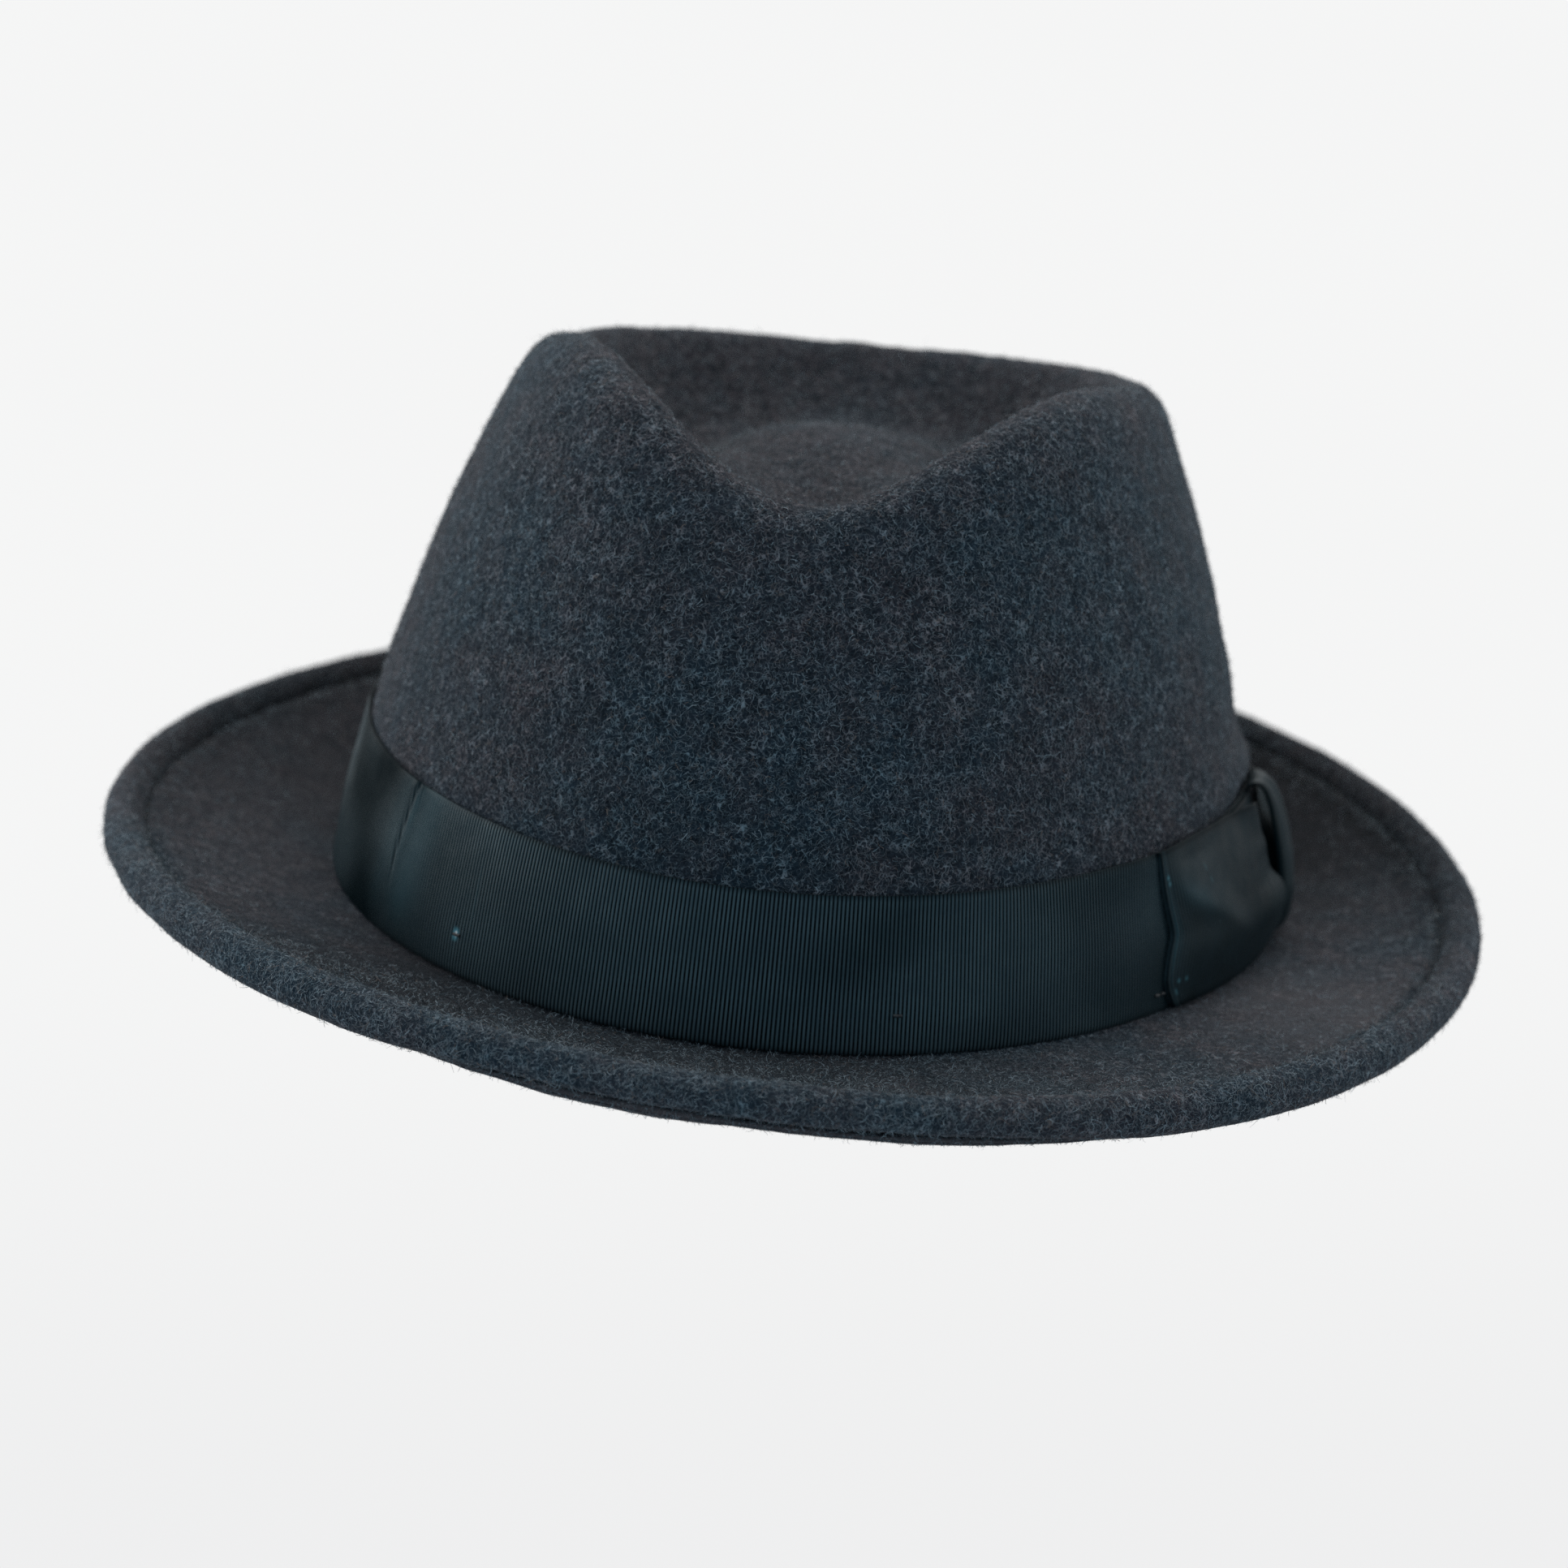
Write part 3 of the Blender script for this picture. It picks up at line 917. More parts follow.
def soft(xs, ys, sigma):
    """smooth curve through a short table"""
    X = np.linspace(min(xs) - 6 * sigma, max(xs) + 6 * sigma, 900)
    Y = np.interp(X, xs, ys)
    k = np.exp(-0.5 * ((np.arange(-200, 201) * (X[1] - X[0])) / sigma) ** 2)
    pad = np.concatenate([np.full(200, Y[0]), Y, np.full(200, Y[-1])])
    Ys = np.convolve(pad, k / k.sum(), "valid")
    return lambda x: np.interp(x, X, Ys)


def ribbon_strip(name, path, nv, thick, node, lite=None, dull=None):
    """path(q, v) -> (t, z, o) for q along the ribbon 0..1 and v across it 0..1; cords run across it"""
    qq = np.linspace(0, 1, 600)
    t, z, o = path(qq, np.full(600, 0.5))
    p = off_skin(u_of(np.clip(z, 0.2, 33.0)), t, o)
    p[:, 2] += z - np.clip(z, 0.2, 33.0)
    L = np.concatenate([[0], np.cumsum(np.linalg.norm(np.diff(p, axis=0), axis=1))])
    ribs = max(4, int(round(L[-1] / PITCH)))
    k = 5
    n = ribs * k + 1
    qs = np.interp(np.linspace(0, L[-1], n), L, qq)
    vs = np.concatenate([[0, 0.012, 0.035], np.linspace(0.07, 0.93, nv), [0.965, 0.988, 1.0]])
    Q, Vv = np.meshgrid(qs, vs, indexing="ij")
    t, z, o = path(Q, Vv)
    zc = np.clip(z, 0.2, 33.0)
    C = off_skin(u_of(zc), t, o)
    C[..., 2] += z - zc
    du, dv = np.gradient(C, axis=0), np.gradient(C, axis=1)
    nn = np.cross(du, dv)
    nn /= np.maximum(np.linalg.norm(nn, axis=-1, keepdims=True), 1e-9)
    ph = (np.arange(n) % k) / k
    rh = (np.abs(np.sin(math.pi * ph)) ** 0.7)[:, None] * (sstep(0.0, 0.05, vs) * (1 - sstep(0.95, 1.0, vs)))[None]
    A = C - nn * (thick * 0.5 + 0.07 * rh[..., None])
    B = C + nn * (thick * 0.5 + 0.07 * rh[..., None])
    ob = sheet_mesh(name, A, B, RIBBON)
    add_rest(ob)
    add_float(ob, "rib", np.tile((0.70 * (1 - 0.36 * (1 - rh))).ravel(), 2))
    sv = 1 - sstep(0.0, 0.03, vs) * (1 - sstep(0.97, 1.0, vs))
    add_float(ob, "selvage", np.tile(np.repeat(sv[None], n, 0).ravel(), 2))
    lt = np.zeros(Q.shape) if lite is None else lite(Q, Vv)
    add_float(ob, "lite", np.tile(lt.ravel(), 2))
    add_float(ob, "dull", np.full(len(ob.data.vertices), 0.30) if dull is None else np.tile(dull(Q, Vv).ravel(), 2))
    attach(ob, "hat")
    if node:
        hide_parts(node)
    return ob


Q0, Q1, Q2 = 0.35, 0.40, 0.90       # back ply / fold / face of the loop / turned in under the knot


def loop_path(front=True):
    sg = 1 if front else -1
    if front:
        fold_t = soft([0.5, 3.5, 6.5, 11.0, 14.0, 17.0, 22.5, 31.5], [57.6, 56.2, 55.7, 56.5, 57.5, 56.8, 55.9, 55.3], 1.1)
        end_t = soft([0.5, 2, 6, 10.0, 12.0, 15, 23, 30, 32], [83.5, 86.5, 88, 87.6, 86.6, 84.6, 82.0, 80.4, 80.0], 1.4)
        end_o = soft([0.5, 2, 6, 10.0, 12.0, 15, 23, 30, 32], [3.4, 4.8, 6.9, 7.5, 6.4, 4.9, 4.5, 4.3, 3.8], 1.4)
    else:
        fold_t = soft([0.5, 5, 12, 20, 27, 31.5], [120.6, 121.4, 120.2, 121.5, 120.8, 121.3], 2.2)
        end_t = soft([0.5, 2, 6, 12, 20, 27, 32], [95.2, 92.8, 91.6, 91.8, 93.2, 95.0, 96.4], 2.0)
        end_o = soft([0.5, 2, 6, 12, 20, 27, 32], [3.2, 4.6, 6.4, 6.9, 5.4, 3.6, 2.6], 2.0)

    def path(q, v):
        z0 = 0.8 + (top_of_band(70.0) - 0.2 - 0.8) * v
        tf = fold_t(z0)
        rf = 0.32
        # back ply
        sb = 1 - np.clip(q / Q0, 0, 1)
        t_b = tf + (KT + KS / 2 - sg * 0.5 - tf) * sb
        o_b = 1.45 + 0.25 * sb
        # fold
        th = np.clip((q - Q0) / (Q1 - Q0), 0, 1) * math.pi
        t_f = tf - sg * rf / 1.62 * np.sin(th)
        o_f = 1.45 + rf * (1 - np.cos(th))
        # face
        s = np.clip((q - Q1) / (Q2 - Q1), 0, 1)
        te, oe = end_t(z0), end_o(z0)
        t_s = tf + (te - tf) * s
        base = 1.45 + 2 * rf
        o_s = base + (oe - base) * s ** 0.95
        hug = np.exp(-((1 - v) / (0.16 if front else 0.40)) ** 2)
        o_s = o_s - hug * (o_s - 2.0) * (1 - (sstep(0.70, 0.98, s) if front else 0.6 * sstep(0.88, 1.0, s)))
        belly = np.exp(-((v - 0.42) / 0.27) ** 2)
        o_s = o_s + (1.7 if front else 1.0) * belly * np.sin(math.pi * np.clip(s, 0, 1) ** 0.8)
        if front:
            vr = 0.83 - 0.98 * s
            w = v - vr
            ridge = np.where(w > 0, np.exp(-(np.abs(w) / 0.28) ** 1.6), np.exp(-(w / 0.125) ** 2))
            o_s = o_s + 0.62 * ridge * sstep(0.0, 0.12, s) * (1 - sstep(0.30, 0.55, s))
            vr2 = 0.52 - 0.22 * s
            w2 = v - vr2
            o_s = o_s + 0.35 * np.where(w2 > 0, np.exp(-(w2 / 0.3) ** 2), np.exp(-(w2 / 0.11) ** 2)) * sstep(0.45, 0.7, s)
            o_s = o_s - 0.30 * np.exp(-(((v - 0.88) / 0.05) ** 2)) * sstep(0.05, 0.25, s) * (1 - sstep(0.3, 0.5, s))
        else:
            vr = 0.30 + 0.55 * s
            w = v - vr
            o_s = o_s + 0.9 * np.where(w > 0, np.exp(-(w / 0.12) ** 2), np.exp(-(w / 0.26) ** 2)) * sstep(0.0, 0.12, s) * (1 - sstep(0.5, 0.75, s))
        gather = (0.20 * np.cos((v - 0.42) * 21.0 + 0.6) + 0.08 * np.cos((v - 0.42) * 43.0)) * (1 - 0.6 * sstep(0.5, 0.9, v))
        o_s = o_s + gather * s ** 4
        # hem lines beside the fold
        o_s = o_s + 0.05 * np.exp(-((s - 0.018) / 0.006) ** 2) - 0.05 * np.exp(-((s - 0.030) / 0.006) ** 2)
        # turned in under the knot
        k = np.clip((q - Q2) / (1 - Q2), 0, 1)
        t_e = te + sg * (0.55 * np.sin(k * math.pi * 0.62) + 1.9 * k ** 2)
        o_e = oe + gather - (oe + gather - 2.7) * (1 - np.cos(k * math.pi * 0.5)) ** 0.9 * 1.0
        z_e = z0 + (15.0 - z0) * 0.18 * k
        t = np.where(q < Q0, t_b, np.where(q < Q1, t_f, np.where(q < Q2, t_s, t_e)))
        o = np.where(q < Q0, o_b, np.where(q < Q1, o_f, np.where(q < Q2, o_s, o_e)))
        z = np.where(q < Q2, z0, z_e)
        # the top edge rides up a little over the felt
        z = z + (0.9 if front else 0.2) * v ** 3 * np.sin(math.pi * np.clip((q - Q1) / (Q2 - Q1), 0, 1) ** 0.8) * (q > Q1)
        return t, z, o
    return path


def front_glints(q, v):
    s = (q - Q1) / (Q2 - Q1)
    l = 0.11 * np.exp(-((s - 0.014) / 0.008) ** 2) * (0.35 + 0.65 * np.exp(-((v - 0.45) / 0.2) ** 2))
    l += 0.05 * np.exp(-((s - 0.038) / 0.006) ** 2) * np.exp(-((v - 0.5) / 0.25) ** 2)
    for a_, b_, g_ in ((0.022, 0.83, 0.8), (0.026, 0.79, 0.7), (0.03, 0.10, 0.7), (0.05, 0.17, 0.5), (0.09, 0.17, 0.4), (0.30, 0.80, 0.35), (0.31, 0.72, 0.3)):
        l += g_ * np.exp(-(((s - a_) / 0.006) ** 2 + ((v - b_) / 0.012) ** 2))
    l += 0.060 * np.exp(-(((s - 0.17) / 0.10) ** 2 + ((v - (0.80 - 0.80 * s)) / 0.09) ** 2))
    return np.clip(l, 0, 1) * (q > Q1 - 0.02)


def front_dull(q, v):
    """the loop's lower part and the hollow beside the knot are darker than the lit wedge by the fold"""
    s = np.clip((q - Q1) / (Q2 - Q1), 0, 1)
    low = 1 - sstep(-0.10, 0.02, v - (0.83 - 0.98 * s)) * (1 - sstep(0.35, 0.55, s))
    d = 0.25 + 0.19 * low * sstep(0.04, 0.14, s)
    d = d + 0.30 * np.exp(-(((s - 0.66) / 0.16) ** 2 + ((v - 0.40) / 0.16) ** 2))
    d = d - 0.30 * np.exp(-(((s - 0.20) / 0.12) ** 2 + ((v - 0.66) / 0.10) ** 2))
    return np.clip(d, 0, 0.95)


nv = 44
ribbon_strip("bow_loop_front", loop_path(True), nv, 0.44, "bow_front_loop", front_glints, front_dull)
ribbon_strip("bow_loop_rear", loop_path(False), nv, 0.5, "bow_rear_loop", None)

# the knot: a strip of ribbon over the gathered middle, its edges rolled in
_kz = np.array([29.8, 30.9, 30.7, 29.4, 26.4, 21.5, 16.0, 10.0, 5.0, 2.6, 1.2, 0.6])
_ko = np.array([1.5, 3.0, 4.6, 5.9, 6.9, 7.8, 8.5, 8.6, 7.6, 6.2, 4.2, 1.6])
_kl = np.concatenate([[0], np.cumsum(np.hypot(np.diff(_kz), np.diff(_ko)))])
KZ, KO = soft(_kl / _kl[-1], _kz, 0.022), soft(_kl / _kl[-1], _ko, 0.022)


def knot_path(q, v):
    vv = (v - 0.5) * 2
    zc, oc = KZ(q), KO(q)
    arch = np.sin(math.pi * np.clip(q, 0, 1)) ** 0.6
    roll = np.abs(vv) ** 3
    t = KT + KS / 2 + vv * (KS / 2 + 0.2) * (1 - 0.20 * roll * arch) + 0.5 * np.sin(q * 5.0 + 0.4) * arch
    o = oc - 2.1 * roll * arch
    o = o + (0.50 * np.cos(vv * 5.2 + 1.4 * q) - 0.55 * np.exp(-((vv + 0.30 - 0.25 * q) / 0.12) ** 2) - 0.45 * np.exp(-((vv - 0.42 + 0.3 * q) / 0.10) ** 2)) * arch
    zc = zc + 0.25 * np.cos(vv * 6.0) * arch * np.cos(q * math.pi)
    return t, zc, np.maximum(o, 1.4)


def knot_dull(q, v):
    """the rolled-in edges of the knot lie in the hollow beside it"""
    return np.clip(0.25 + 0.72 * sstep(0.55, 0.85, np.abs(v - 0.5) * 2) * sstep(0.03, 0.12, q), 0, 0.97)


ribbon_strip("bow_knot_wrap", knot_path, 40, 0.5, "bow_knot", None, knot_dull)

# =====================================================================================
# Inside: sweatband, reed, tape, lining
# =====================================================================================
NI = 360
ti = np.arange(NI) * 360.0 / NI
LIN_O = TH + GAP
SW_O = LIN_O + 0.5 + GAP + 0.5
SW_T = 0.9
sw_wave = waves(41, 12, 25.0, 70.0)


def inner_pt(z, t, o):
    """point at height z above the break line, o inwards from the outside of the crown"""
    zc = np.clip(z, 0.9, 60.0)
    p = off_skin(u_of(zc) if np.max(zc) < 34 else np.interp(zc, zz_all, uu_all), t, -np.asarray(o, float) + 0 * t)
    p[..., 2] += z - zc
    return p


uu_all = np.linspace(0.6, 6.0, 300)
zz_all = skin(uu_all, np.full(300, 45.0))[:, 2] - base_z(np.array([45.0]))[0]


def ring_rows(profile, t):
    return np.array([inner_pt(np.full(len(t), z), t, np.full(len(t), o) if np.ndim(o) == 0 else o) for z, o in profile])


# sweatband: thin leather, softly wavy at its free edge, rolled lip at the foot
prof = [(-1.2, SW_O - 0.05), (-1.5, SW_O + 0.2), (-1.5, SW_O + 0.7), (-1.1, SW_O + SW_T)]
zs_in = [0.0, 2.0, 2.8, 3.4, 4.2, 8.0, 14.0, 20.0, 26.0, 30.0, 31.2]
rows_ = [inner_pt(np.full(NI, z), ti, np.full(NI, o)) for z, o in prof]
for z in zs_in:
    groove = -0.22 * math.exp(-((z - 2.8) / 0.5) ** 2)
    wob = 0.30 * sw_wave(np.stack([90 * sd(ti), 105 * cd(ti), 0 * ti + z * 2], -1)) * sstep(8, 31, z)
    rows_.append(inner_pt(np.full(NI, z), ti, SW_O + SW_T + groove + np.maximum(wob, -0.25)))
ztop = 31.9 + 0.12 * np.sin(9 * ti * D2R)
rows_.append(inner_pt(ztop, ti, np.full(NI, SW_O + 0.75)))
rows_.append(inner_pt(ztop, ti, np.full(NI, SW_O + 0.30)))
for z in (31.0, 20.0, 8.0, 1.0):
    rows_.append(inner_pt(np.full(NI, z), ti, np.full(NI, SW_O)))
sweat = ring_mesh("sweatband_leather", np.array(rows_), LEATHER)
fix_normals(sweat)
add_rest(sweat)
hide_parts("sweatband")
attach(sweat, "sweatband_turnout")


def tube(name, centre, radius, mat, sides=8, closed=True, body="hat", node=None, bulge=None):
    """centre: (n,3) polyline"""
    n = len(centre)
    tan = (np.roll(centre, -1, 0) - np.roll(centre, 1, 0)) if closed else np.gradient(centre, axis=0)
    tan /= np.linalg.norm(tan, axis=1, keepdims=True)
    up = np.array([0, 0, 1.0])
    e1 = np.cross(tan, up)
    e1 /= np.maximum(np.linalg.norm(e1, axis=1, keepdims=True), 1e-9)
    e2 = np.cross(e1, tan)
    rad = np.full(n, radius) if bulge is None else radius * bulge
    R = np.array([centre + rad[:, None] * (math.cos(a) * e1 + math.sin(a) * e2) for a in np.arange(sides) / sides * 2 * math.pi])
    if closed:
        ob = ring_mesh(name, R, mat)
    else:
        V = R.reshape(-1, 3)
        caps = [np.arange(sides)[None, ::-1] * n, np.arange(sides)[None] * n + n - 1]
        ob = mesh_object(name, V, [quads(sides, n, False, wrap_m=True)] + caps, mat)
    fix_normals(ob)
    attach(ob, body)
    if node:
        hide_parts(node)
    return ob


# run of stitches round the foot of the sweatband: each dips into the leather between stitches
def stitch_run(name, z, o, pitch, rad, mat, node, body):
    pl = inner_pt(np.full(2001, z), np.linspace(0, 360, 2001), np.full(2001, o))
    L = np.concatenate([[0], np.cumsum(np.linalg.norm(np.diff(pl, axis=0), axis=1))])
    ns = int(L[-1] / pitch)
    k = 6
    s = np.arange(ns * k) / (ns * k) * L[-1]
    t = np.interp(s, L, np.linspace(0, 360, 2001))
    f = (np.arange(ns * k) % k) / k
    hgt = 0.34 * np.sin(math.pi * f) ** 0.6 - 0.12
    c = inner_pt(z + 0.12 * np.sin(2 * math.pi * f), t, o + hgt)
    return tube(name, c, rad, mat, 6, True, body, node, bulge=0.75 + 0.25 * np.sin(math.pi * f))


stitch_run("sweatband_stitch_run", 2.8, SW_O + SW_T - 0.05, 3.1, 0.26, PALE_THREAD, "sweatband_stitching", "sweatband_turnout")

# seam tape at the back, with a row of stitches each side
def patch(name, t0, t1, z0, z1, o, th, mat, node, slot, body, nt=18, nz=24, rnd=0.0, sag=0.0):
    T, Z = np.meshgrid(np.linspace(t0, t1, nt), np.linspace(z0, z1, nz), indexing="ij")
    a = np.abs(2 * (T - t0) / (t1 - t0) - 1)
    b = np.abs(2 * (Z - z0) / (z1 - z0) - 1)
    lift = sag * (a ** 4 + b ** 4)
    wv_ = 0.04 * np.sin(T * 3.1 + Z * 0.7) + 0.03 * np.sin(Z * 1.9)
    O = o + lift + wv_
    zc = np.clip(Z, 0.9, 60.0)
    uz = np.interp(zc, zz_all, uu_all)
    B = off_skin(uz, T, -O)
    A = off_skin(uz, T, -(O + th * (1 - 0.5 * np.maximum(a, b) ** 8)))
    ob = sheet_mesh(name, A, B, mat)
    add_rest(ob)
    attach(ob, body)
    if node:
        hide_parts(node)
    return ob


patch("sweatband_back_tape", 176.6, 183.4, 5.0, 27.5, SW_O + SW_T + 0.12, 0.45, TAPE, "sweatband_seam_tape", "dark_tape", "sweatband_turnout")


def small_bow():
    """little flat bow of narrow ribbon at the back of the sweatband"""
    o0 = SW_O + SW_T + 0.62
    for sgn in (-1, 1):
        def path(q, v, sgn=sgn):
            fold = np.clip((q - 0.42) / 0.16, 0, 1)
            s = np.where(q < 0.42, q / 0.42, np.where(q > 0.58, (1 - q) / 0.42, 1.0))
            t = 180 + sgn * (0.5 + 3.9 * s + 0.35 * np.sin(fold * math.pi) * (fold > 0) * (fold < 1))
            half = 1.2 + 1.35 * s
            z = 13.6 + (v - 0.5) * 2 * half
            o_b, o_f = o0 + 0.35, o0 + 1.3 + 0.7 * np.sin(s * 2.4)
            o = np.where(q < 0.42, o_b, np.where(q > 0.58, o_f, o_b + (o_f - o_b) * (1 - np.cos(fold * math.pi)) / 2))
            return t, z, -o
        nm = "sweatband_bow_left" if sgn < 0 else "sweatband_bow_right"
        qq = np.linspace(0, 1, 60)
        vs = np.linspace(0, 1, 12)
        Q, Vv = np.meshgrid(qq, vs, indexing="ij")
        t, z, o = path(Q, Vv)
        C = off_skin(np.interp(z, zz_all, uu_all), t, o)
        nn = np.cross(np.gradient(C, axis=0), np.gradient(C, axis=1))
        nn /= np.maximum(np.linalg.norm(nn, axis=-1, keepdims=True), 1e-9)
        ob = sheet_mesh(nm, C - 0.16 * nn, C + 0.16 * nn, RIBBON)
        add_rest(ob)
        add_float(ob, "rib", np.tile(np.repeat((0.5 + 0.5 * np.sin(qq * 90))[:, None], 12, 1).ravel(), 2))
        add_float(ob, "selvage", np.zeros(len(ob.data.vertices)))
        add_float(ob, "lite", np.zeros(len(ob.data.vertices)))
        add_float(ob, "dull", np.full(len(ob.data.vertices), 0.2))
        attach(ob, "sweatband_turnout")
    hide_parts("sweatband_bow")
    # wrap at its middle
    a = np.linspace(0, 2 * math.pi, 25)[:-1]
    prof = [(13.6 + 1.75 * math.sin(x), o0 + 1.05 + 1.15 * math.cos(x)) for x in a]
    tk = np.linspace(179.25, 180.75, 7)
    R = np.array([[off_skin(np.interp(z, zz_all, uu_all), t, -(o + 0.0)) for t in tk] for z, o in prof])
    V = R.reshape(-1, 3)
    n = len(tk)
    caps = [np.arange(len(prof))[None, ::-1] * n, np.arange(len(prof))[None] * n + n - 1]
    ob = mesh_object("sweatband_bow_knot", V, [quads(len(prof), n, False, wrap_m=True)] + caps, RIBBON)
    fix_normals(ob)
    add_rest(ob)
    add_float(ob, "rib", np.ones(len(V)) * 0.6)
    add_float(ob, "selvage", np.zeros(len(V)))
    add_float(ob, "lite", np.zeros(len(V)))
    add_float(ob, "dull", np.full(len(V), 0.2))
    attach(ob, "sweatband_turnout")


small_bow()
patch("size_ticket", 160.0, 169.0, 13.6, 26.3, SW_O + SW_T + 0.12, 0.3, TICKET, "size_tag", "ticket_paper", "sweatband_turnout")
patch("care_label_ribbon", 100.5, 109.5, 35.5, 52.0, LIN_O + 0.5 + 0.6 + 0.25, 0.3, LABEL, "care_label", "label_fabric", "hat", sag=0.0)

# reed tape: a folded strip sewn to the felt, the reed inside it
f_rows = [(2.4, 0.04), (1.0, 0.02), (-0.9, 0.02), (-2.2, 0.12), (-2.4, 0.5), (-2.2, 1.0), (-1.0, 1.1), (1.0, 1.12), (2.4, 1.1), (2.35, 0.93), (1.0, 0.93), (-1.0, 0.92), (-1.95, 0.8), (-2.05, 0.5), (-1.95, 0.25), (1.0, 0.19), (2.3, 0.19)]
R = ring_rows([(z + 2.0 - 2.0 * 0, LIN_O + o) for z, o in f_rows], ti)
R[..., 2] += 0.0
tp = ring_mesh("reed_tape_fold", R, TAPE)
fix_normals(tp)
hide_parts("reed_tape")
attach(tp, "hat")
tube("reed_cord", inner_pt(np.full(NI, -0.1), ti, np.full(NI, LIN_O + 0.55)), 0.33, REED, 10, True, "hat", "sweatband_reed")

# lining: satin wall and tip, softly puckered where they meet
lw = waves(51, 16, 14.0, 40.0)
NL = 480
tl = np.arange(NL) * 360.0 / NL
TIPZ = 66.0


def lin_top(t, o):
    p = off_skin(np.full(len(t), 5.0), t, np.full(len(t), -LIN_O - 2.0) - o)
    p[:, 2] = TIPZ
    return p


def lining_rows(extra):
    out = []
    for k, u in enumerate([1.55, 1.8, 2.1, 2.5, 3.0, 3.4, 3.8, 4.2, 4.55]):
        base_o = LIN_O + (0.6 if u > 3 else 0.0) + (u > 4.3) * 0.9
        p0 = skin(np.full(NL, u), tl)
        pk = 0.55 * (0.5 + 0.5 * np.sin(tl * 0.9 * 1.0 * 40 / 36 * 6 * D2R * 6 / 1.0)) * sstep(3.6, 4.9, u)
        wv_ = (0.35 + 0.35 * lw(p0)) * sstep(2.8, 3.4, u) * 1.1
        out.append(off_skin(np.full(NL, u), tl, -(base_o + np.maximum(wv_, 0) + pk + extra)))
    out.append(lin_top(tl, np.full(NL, extra) + 0.25 * (0.5 + 0.5 * np.sin(tl * 60 * D2R))))
    return out


inn = lining_rows(0.5)
out_ = lining_rows(0.0)
lwall = ring_mesh("lining_wall_satin", np.array(inn + out_[::-1]), SATIN)
fix_normals(lwall)
add_rest(lwall)
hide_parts("lining_wall")
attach(lwall, "hat")

K = np.concatenate([np.linspace(0.04, 0.9, 22), [0.94, 0.97, 1.0]])
ctr = np.array([COX, CY0 - 2])
edge_p = lin_top(tl, np.full(NL, 1.6))


def tip_rows(dz):
    out = []
    for k in K:
        xy = ctr + (edge_p[:, :2] - ctr) * k
        z = TIPZ + 3 * (1 - k * k)
        p = np.concatenate([xy, np.full((NL, 1), z)], 1)
        pk = 0.45 * np.sin(tl * 60 * D2R) * sstep(0.62, 1.0, k) * (1 - sstep(0.97, 1.0, k) * 0.5)
        p[:, 2] += 0.35 * lw(p * 0.7) * (1 - k) ** 0.5 + pk * 0.6 + dz
        out.append(p)
    return out


up_, dn_ = tip_rows(0.0), tip_rows(-0.5)
V = np.concatenate([np.array([[ctr[0], ctr[1], TIPZ + 3.0]]), np.array(up_ + dn_[::-1]).reshape(-1, 3), np.array([[ctr[0], ctr[1], TIPZ + 2.5]])])
mm_ = 2 * len(K)
j = np.arange(NL)
F = [np.stack([np.zeros(NL, int), 1 + j, 1 + (j + 1) % NL], -1), quads(mm_, NL, True, False, base=1),
     np.stack([np.full(NL, len(V) - 1), 1 + (mm_ - 1) * NL + (j + 1) % NL, 1 + (mm_ - 1) * NL + j], -1)]
ltip = mesh_object("lining_tip_satin", V, F, SATIN)
fix_normals(ltip)
add_rest(ltip)
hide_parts("lining_tip")
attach(ltip, "hat")
c = lin_top(tl, np.full(NL, 0.9))
c[:, 2] += 0.95
tube("lining_piping_cord", c, 0.68, PIPING, 10, True, "hat", "lining_piping")

# CAD nodes that stay: the tack stitches
for n in ("bow_tacks", "band_tacks"):
    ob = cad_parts[n]
    ob.data.materials.clear()
    ob.data.materials.append(DARK_THREAD)

# =====================================================================================
# Stage, light and camera
# =====================================================================================
sc = bpy.context.scene
sc.view_settings.view_transform = "Standard"
sc.view_settings.look = "None"

fl = bpy.data.meshes.new("floor")
S = 14.0
FZ = -0.42
fl.from_pydata([(-S, -S, FZ), (S, -S, FZ), (S, S, FZ), (-S, S, FZ)], [], [(0, 1, 2, 3)])
floor = bpy.data.objects.new("floor", fl)
sc.collection.objects.link(floor)
N = Nodes("pale_floor")
geo = N.n("ShaderNodeNewGeometry")
co = N.n("ShaderNodeTexCoord")
win = N.n("ShaderNodeSeparateXYZ", Vector=co.outputs["Window"])
shade = N.mix(N.ramp(win.outputs[1], 0.0, 0.50), (0.862, 0.864, 0.868), (0.915, 0.918, 0.918))
shade = N.mix(N.ramp(N.noise(co.outputs["Object"], 0.7, 1.0).outputs["Fac"], 0.3, 0.7, 0.0, 0.10), shade, (0.86, 0.86, 0.865))
em = N.n("ShaderNodeEmission", Color=shade, Strength=1.0)
dif = N.n("ShaderNodeBsdfDiffuse", Color=(0.42, 0.42, 0.44, 1.0))
lp = N.n("ShaderNodeLightPath")
mixs = N.nt.nodes.new("ShaderNodeMixShader")
N.nt.links.new(lp.outputs["Is Camera Ray"], mixs.inputs[0])
N.nt.links.new(dif.outputs[0], mixs.inputs[1])
N.nt.links.new(em.outputs[0], mixs.inputs[2])
tr = N.n("ShaderNodeBsdfTransparent")
mix2 = N.nt.nodes.new("ShaderNodeMixShader")
N.nt.links.new(geo.outputs["Backfacing"], mix2.inputs[0])
N.nt.links.new(mixs.outputs[0], mix2.inputs[1])
N.nt.links.new(tr.outputs[0], mix2.inputs[2])
N.nt.links.new(mix2.outputs[0], N.out.inputs["Surface"])
fl.materials.append(N.mat)

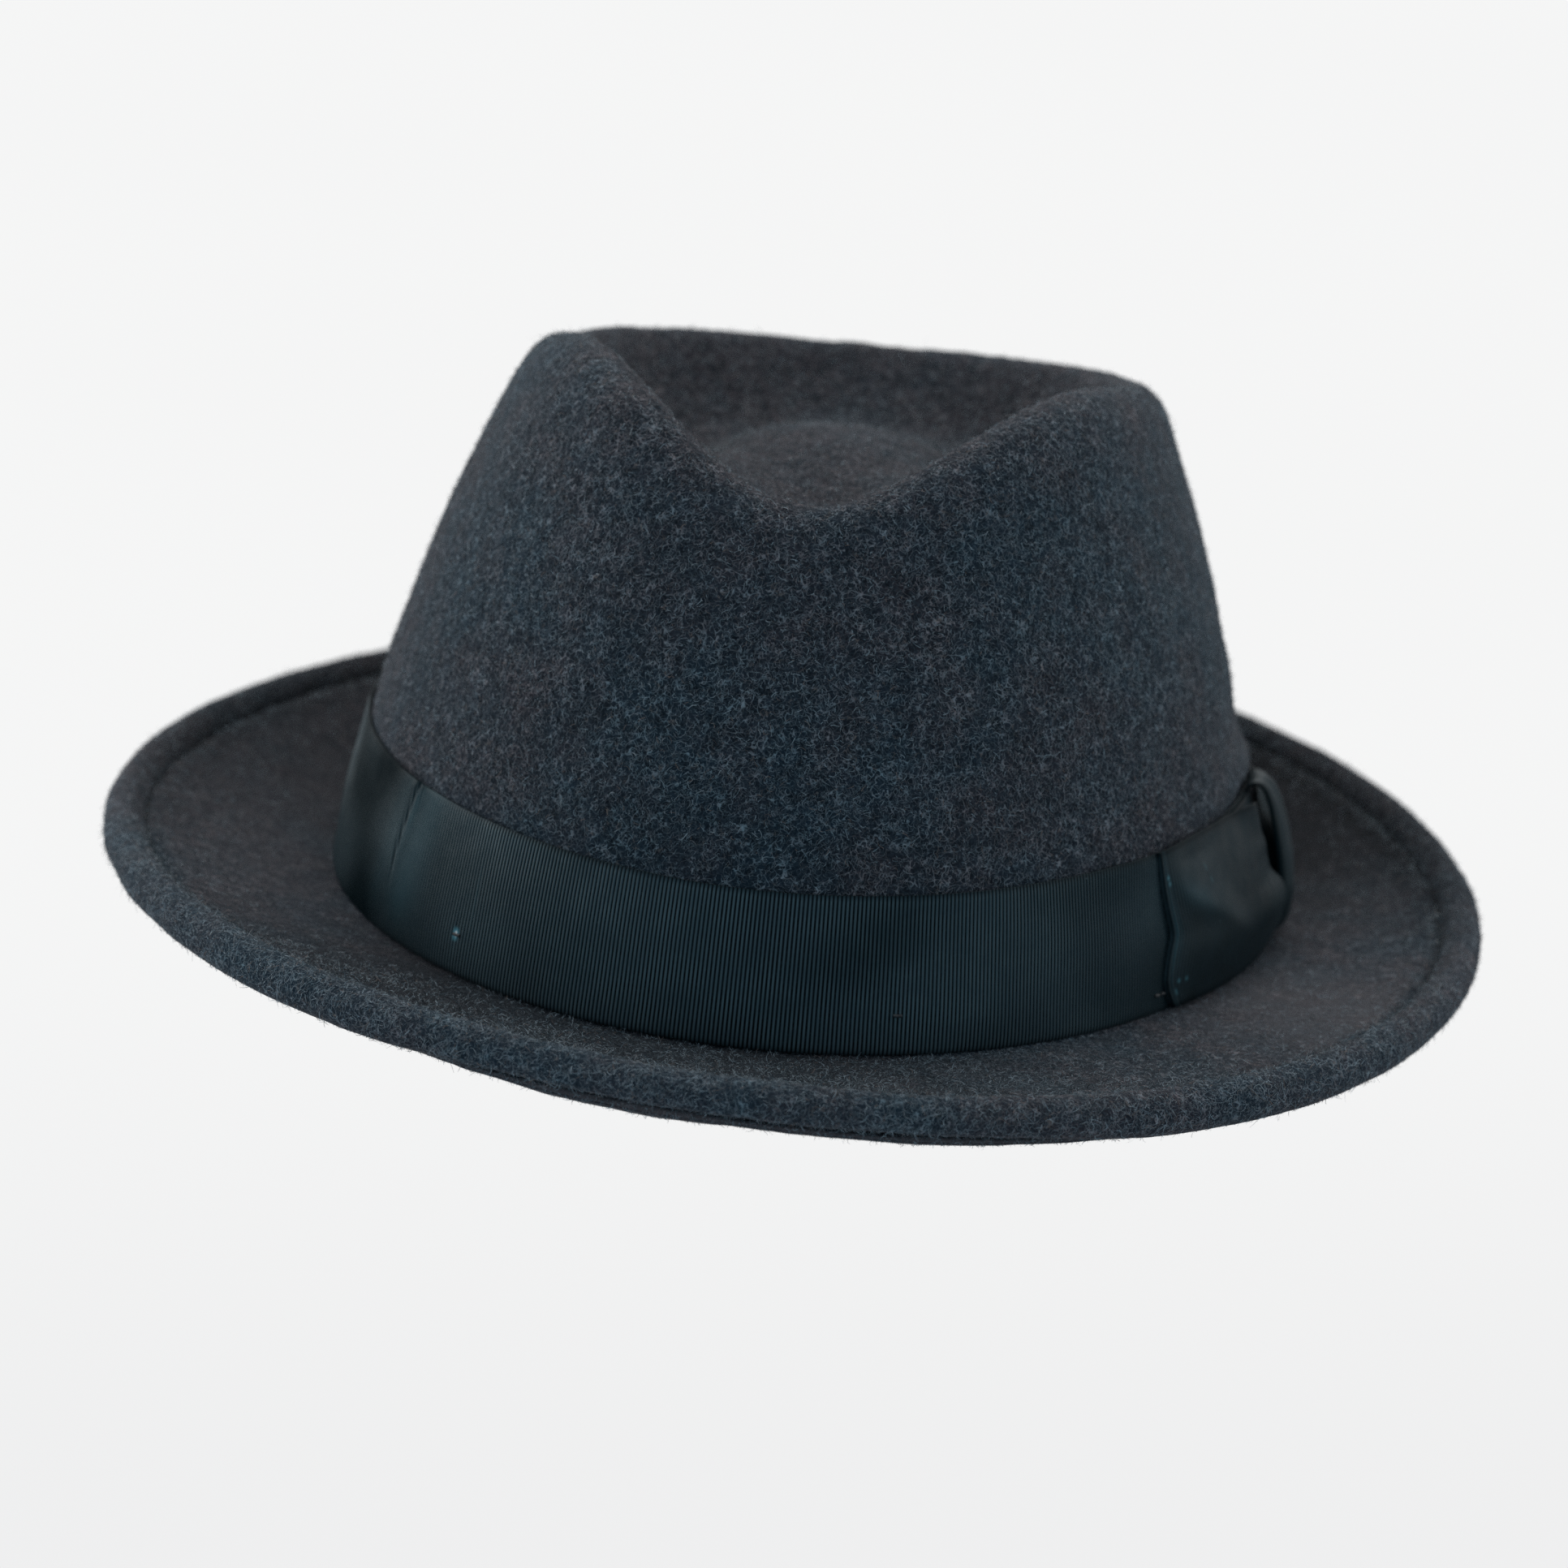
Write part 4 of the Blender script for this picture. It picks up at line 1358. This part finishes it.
world = bpy.data.worlds.new("pale_room")
sc.world = world
world.use_nodes = True
wn = world.node_tree
wn.nodes.clear()
wo = wn.nodes.new("ShaderNodeOutputWorld")
wtc = wn.nodes.new("ShaderNodeTexCoord")
wdot = wn.nodes.new("ShaderNodeVectorMath"); wdot.operation = "DOT_PRODUCT"; wdot.inputs[1].default_value = (-0.10, 0.78, 0.62)
wn.links.new(wtc.outputs["Generated"], wdot.inputs[0])
wmr = wn.nodes.new("ShaderNodeMapRange"); wmr.interpolation_type = "SMOOTHSTEP"
wmr.inputs[1].default_value = -0.55; wmr.inputs[2].default_value = 0.75
wn.links.new(wdot.outputs["Value"], wmr.inputs[0])
wmix = wn.nodes.new("ShaderNodeMix"); wmix.data_type = "RGBA"
wmix.inputs[6].default_value = (0.130, 0.205, 0.270, 1)
wmix.inputs[7].default_value = (0.640, 0.640, 0.650, 1)
wn.links.new(wmr.outputs[0], wmix.inputs[0])
bg1 = wn.nodes.new("ShaderNodeBackground"); bg1.inputs[0].default_value = (0.935, 0.950, 0.948, 1); bg1.inputs[1].default_value = 1.0
bg2 = wn.nodes.new("ShaderNodeBackground"); bg2.inputs[1].default_value = 1.0
wn.links.new(wmix.outputs[2], bg2.inputs[0])
lpw = wn.nodes.new("ShaderNodeLightPath")
mx = wn.nodes.new("ShaderNodeMixShader")
wn.links.new(lpw.outputs["Is Camera Ray"], mx.inputs[0])
wn.links.new(bg2.outputs[0], mx.inputs[1])
wn.links.new(bg1.outputs[0], mx.inputs[2])
wn.links.new(mx.outputs[0], wo.inputs[0])


def area(name, loc, target, size, energy, color=(1, 1, 1)):
    d = bpy.data.lights.new(name, "AREA")
    d.shape = "RECTANGLE"
    d.size, d.size_y = size
    d.energy = energy
    d.color = color
    o = bpy.data.objects.new(name, d)
    sc.collection.objects.link(o)
    o.location = loc
    o.rotation_mode = "QUATERNION"
    o.rotation_quaternion = (Vector(target) - Vector(loc)).to_track_quat("-Z", "Y")
    return o


area("window_left", (-1.8, 0.40, 0.40), (0, 0, 0.05), (1.5, 1.4), 24, (1.0, 0.98, 0.96))
area("window_right", (1.8, 0.45, 0.8), (0, 0, 0.05), (1.3, 1.3), 11, (1.0, 0.98, 0.96))
area("overhead", (-0.1, 0.95, 1.5), (0, 0, 0.05), (1.6, 1.4), 26, (1.0, 0.96, 0.92))
area("front_fill", (0.1, -2.0, 0.25), (0, 0, 0.05), (1.6, 0.8), 9, (0.66, 0.88, 1.0))

# camera: low three-quarter front view
az, el, roll, D, Fpx, tx, tz = 4.142, 14.12, 5.238, 1134.0, 7221.0, -3.743, 21.26
a, e, r_ = az * D2R, el * D2R, roll * D2R
back = np.array([math.sin(a) * math.cos(e), -math.cos(a) * math.cos(e), math.sin(e)])
right = np.array([math.cos(a), math.sin(a), 0.0])
up = np.cross(back, right)
right2 = right * math.cos(r_) + up * math.sin(r_)
up2 = -right * math.sin(r_) + up * math.cos(r_)
C = right * tx + np.array([0, 0, tz]) + back * D
cam = bpy.data.cameras.new("camera")
cam.sensor_width = 36.0
cam.sensor_fit = "HORIZONTAL"
cam.lens = Fpx / 1932.0 * 36.0
cam.clip_start, cam.clip_end = 0.05, 60.0
co_ = bpy.data.objects.new("camera", cam)
sc.collection.objects.link(co_)
Mx = Matrix.Identity(4)
for i in range(3):
    Mx[i][0], Mx[i][1], Mx[i][2], Mx[i][3] = right2[i], up2[i], back[i], C[i] * MM
co_.matrix_world = Mx
sc.camera = co_
foc = bpy.data.objects.new("focus", None)
foc.location = (0.0, -0.108, 0.030)
sc.collection.objects.link(foc)
cam.dof.use_dof = True
cam.dof.focus_object = foc
cam.dof.aperture_fstop = 12.5
if hasattr(bpy.context.scene, "cycles"):
    bpy.context.scene.cycles.denoising_prefilter = "NONE"     # keeps the fibres and cords crisp
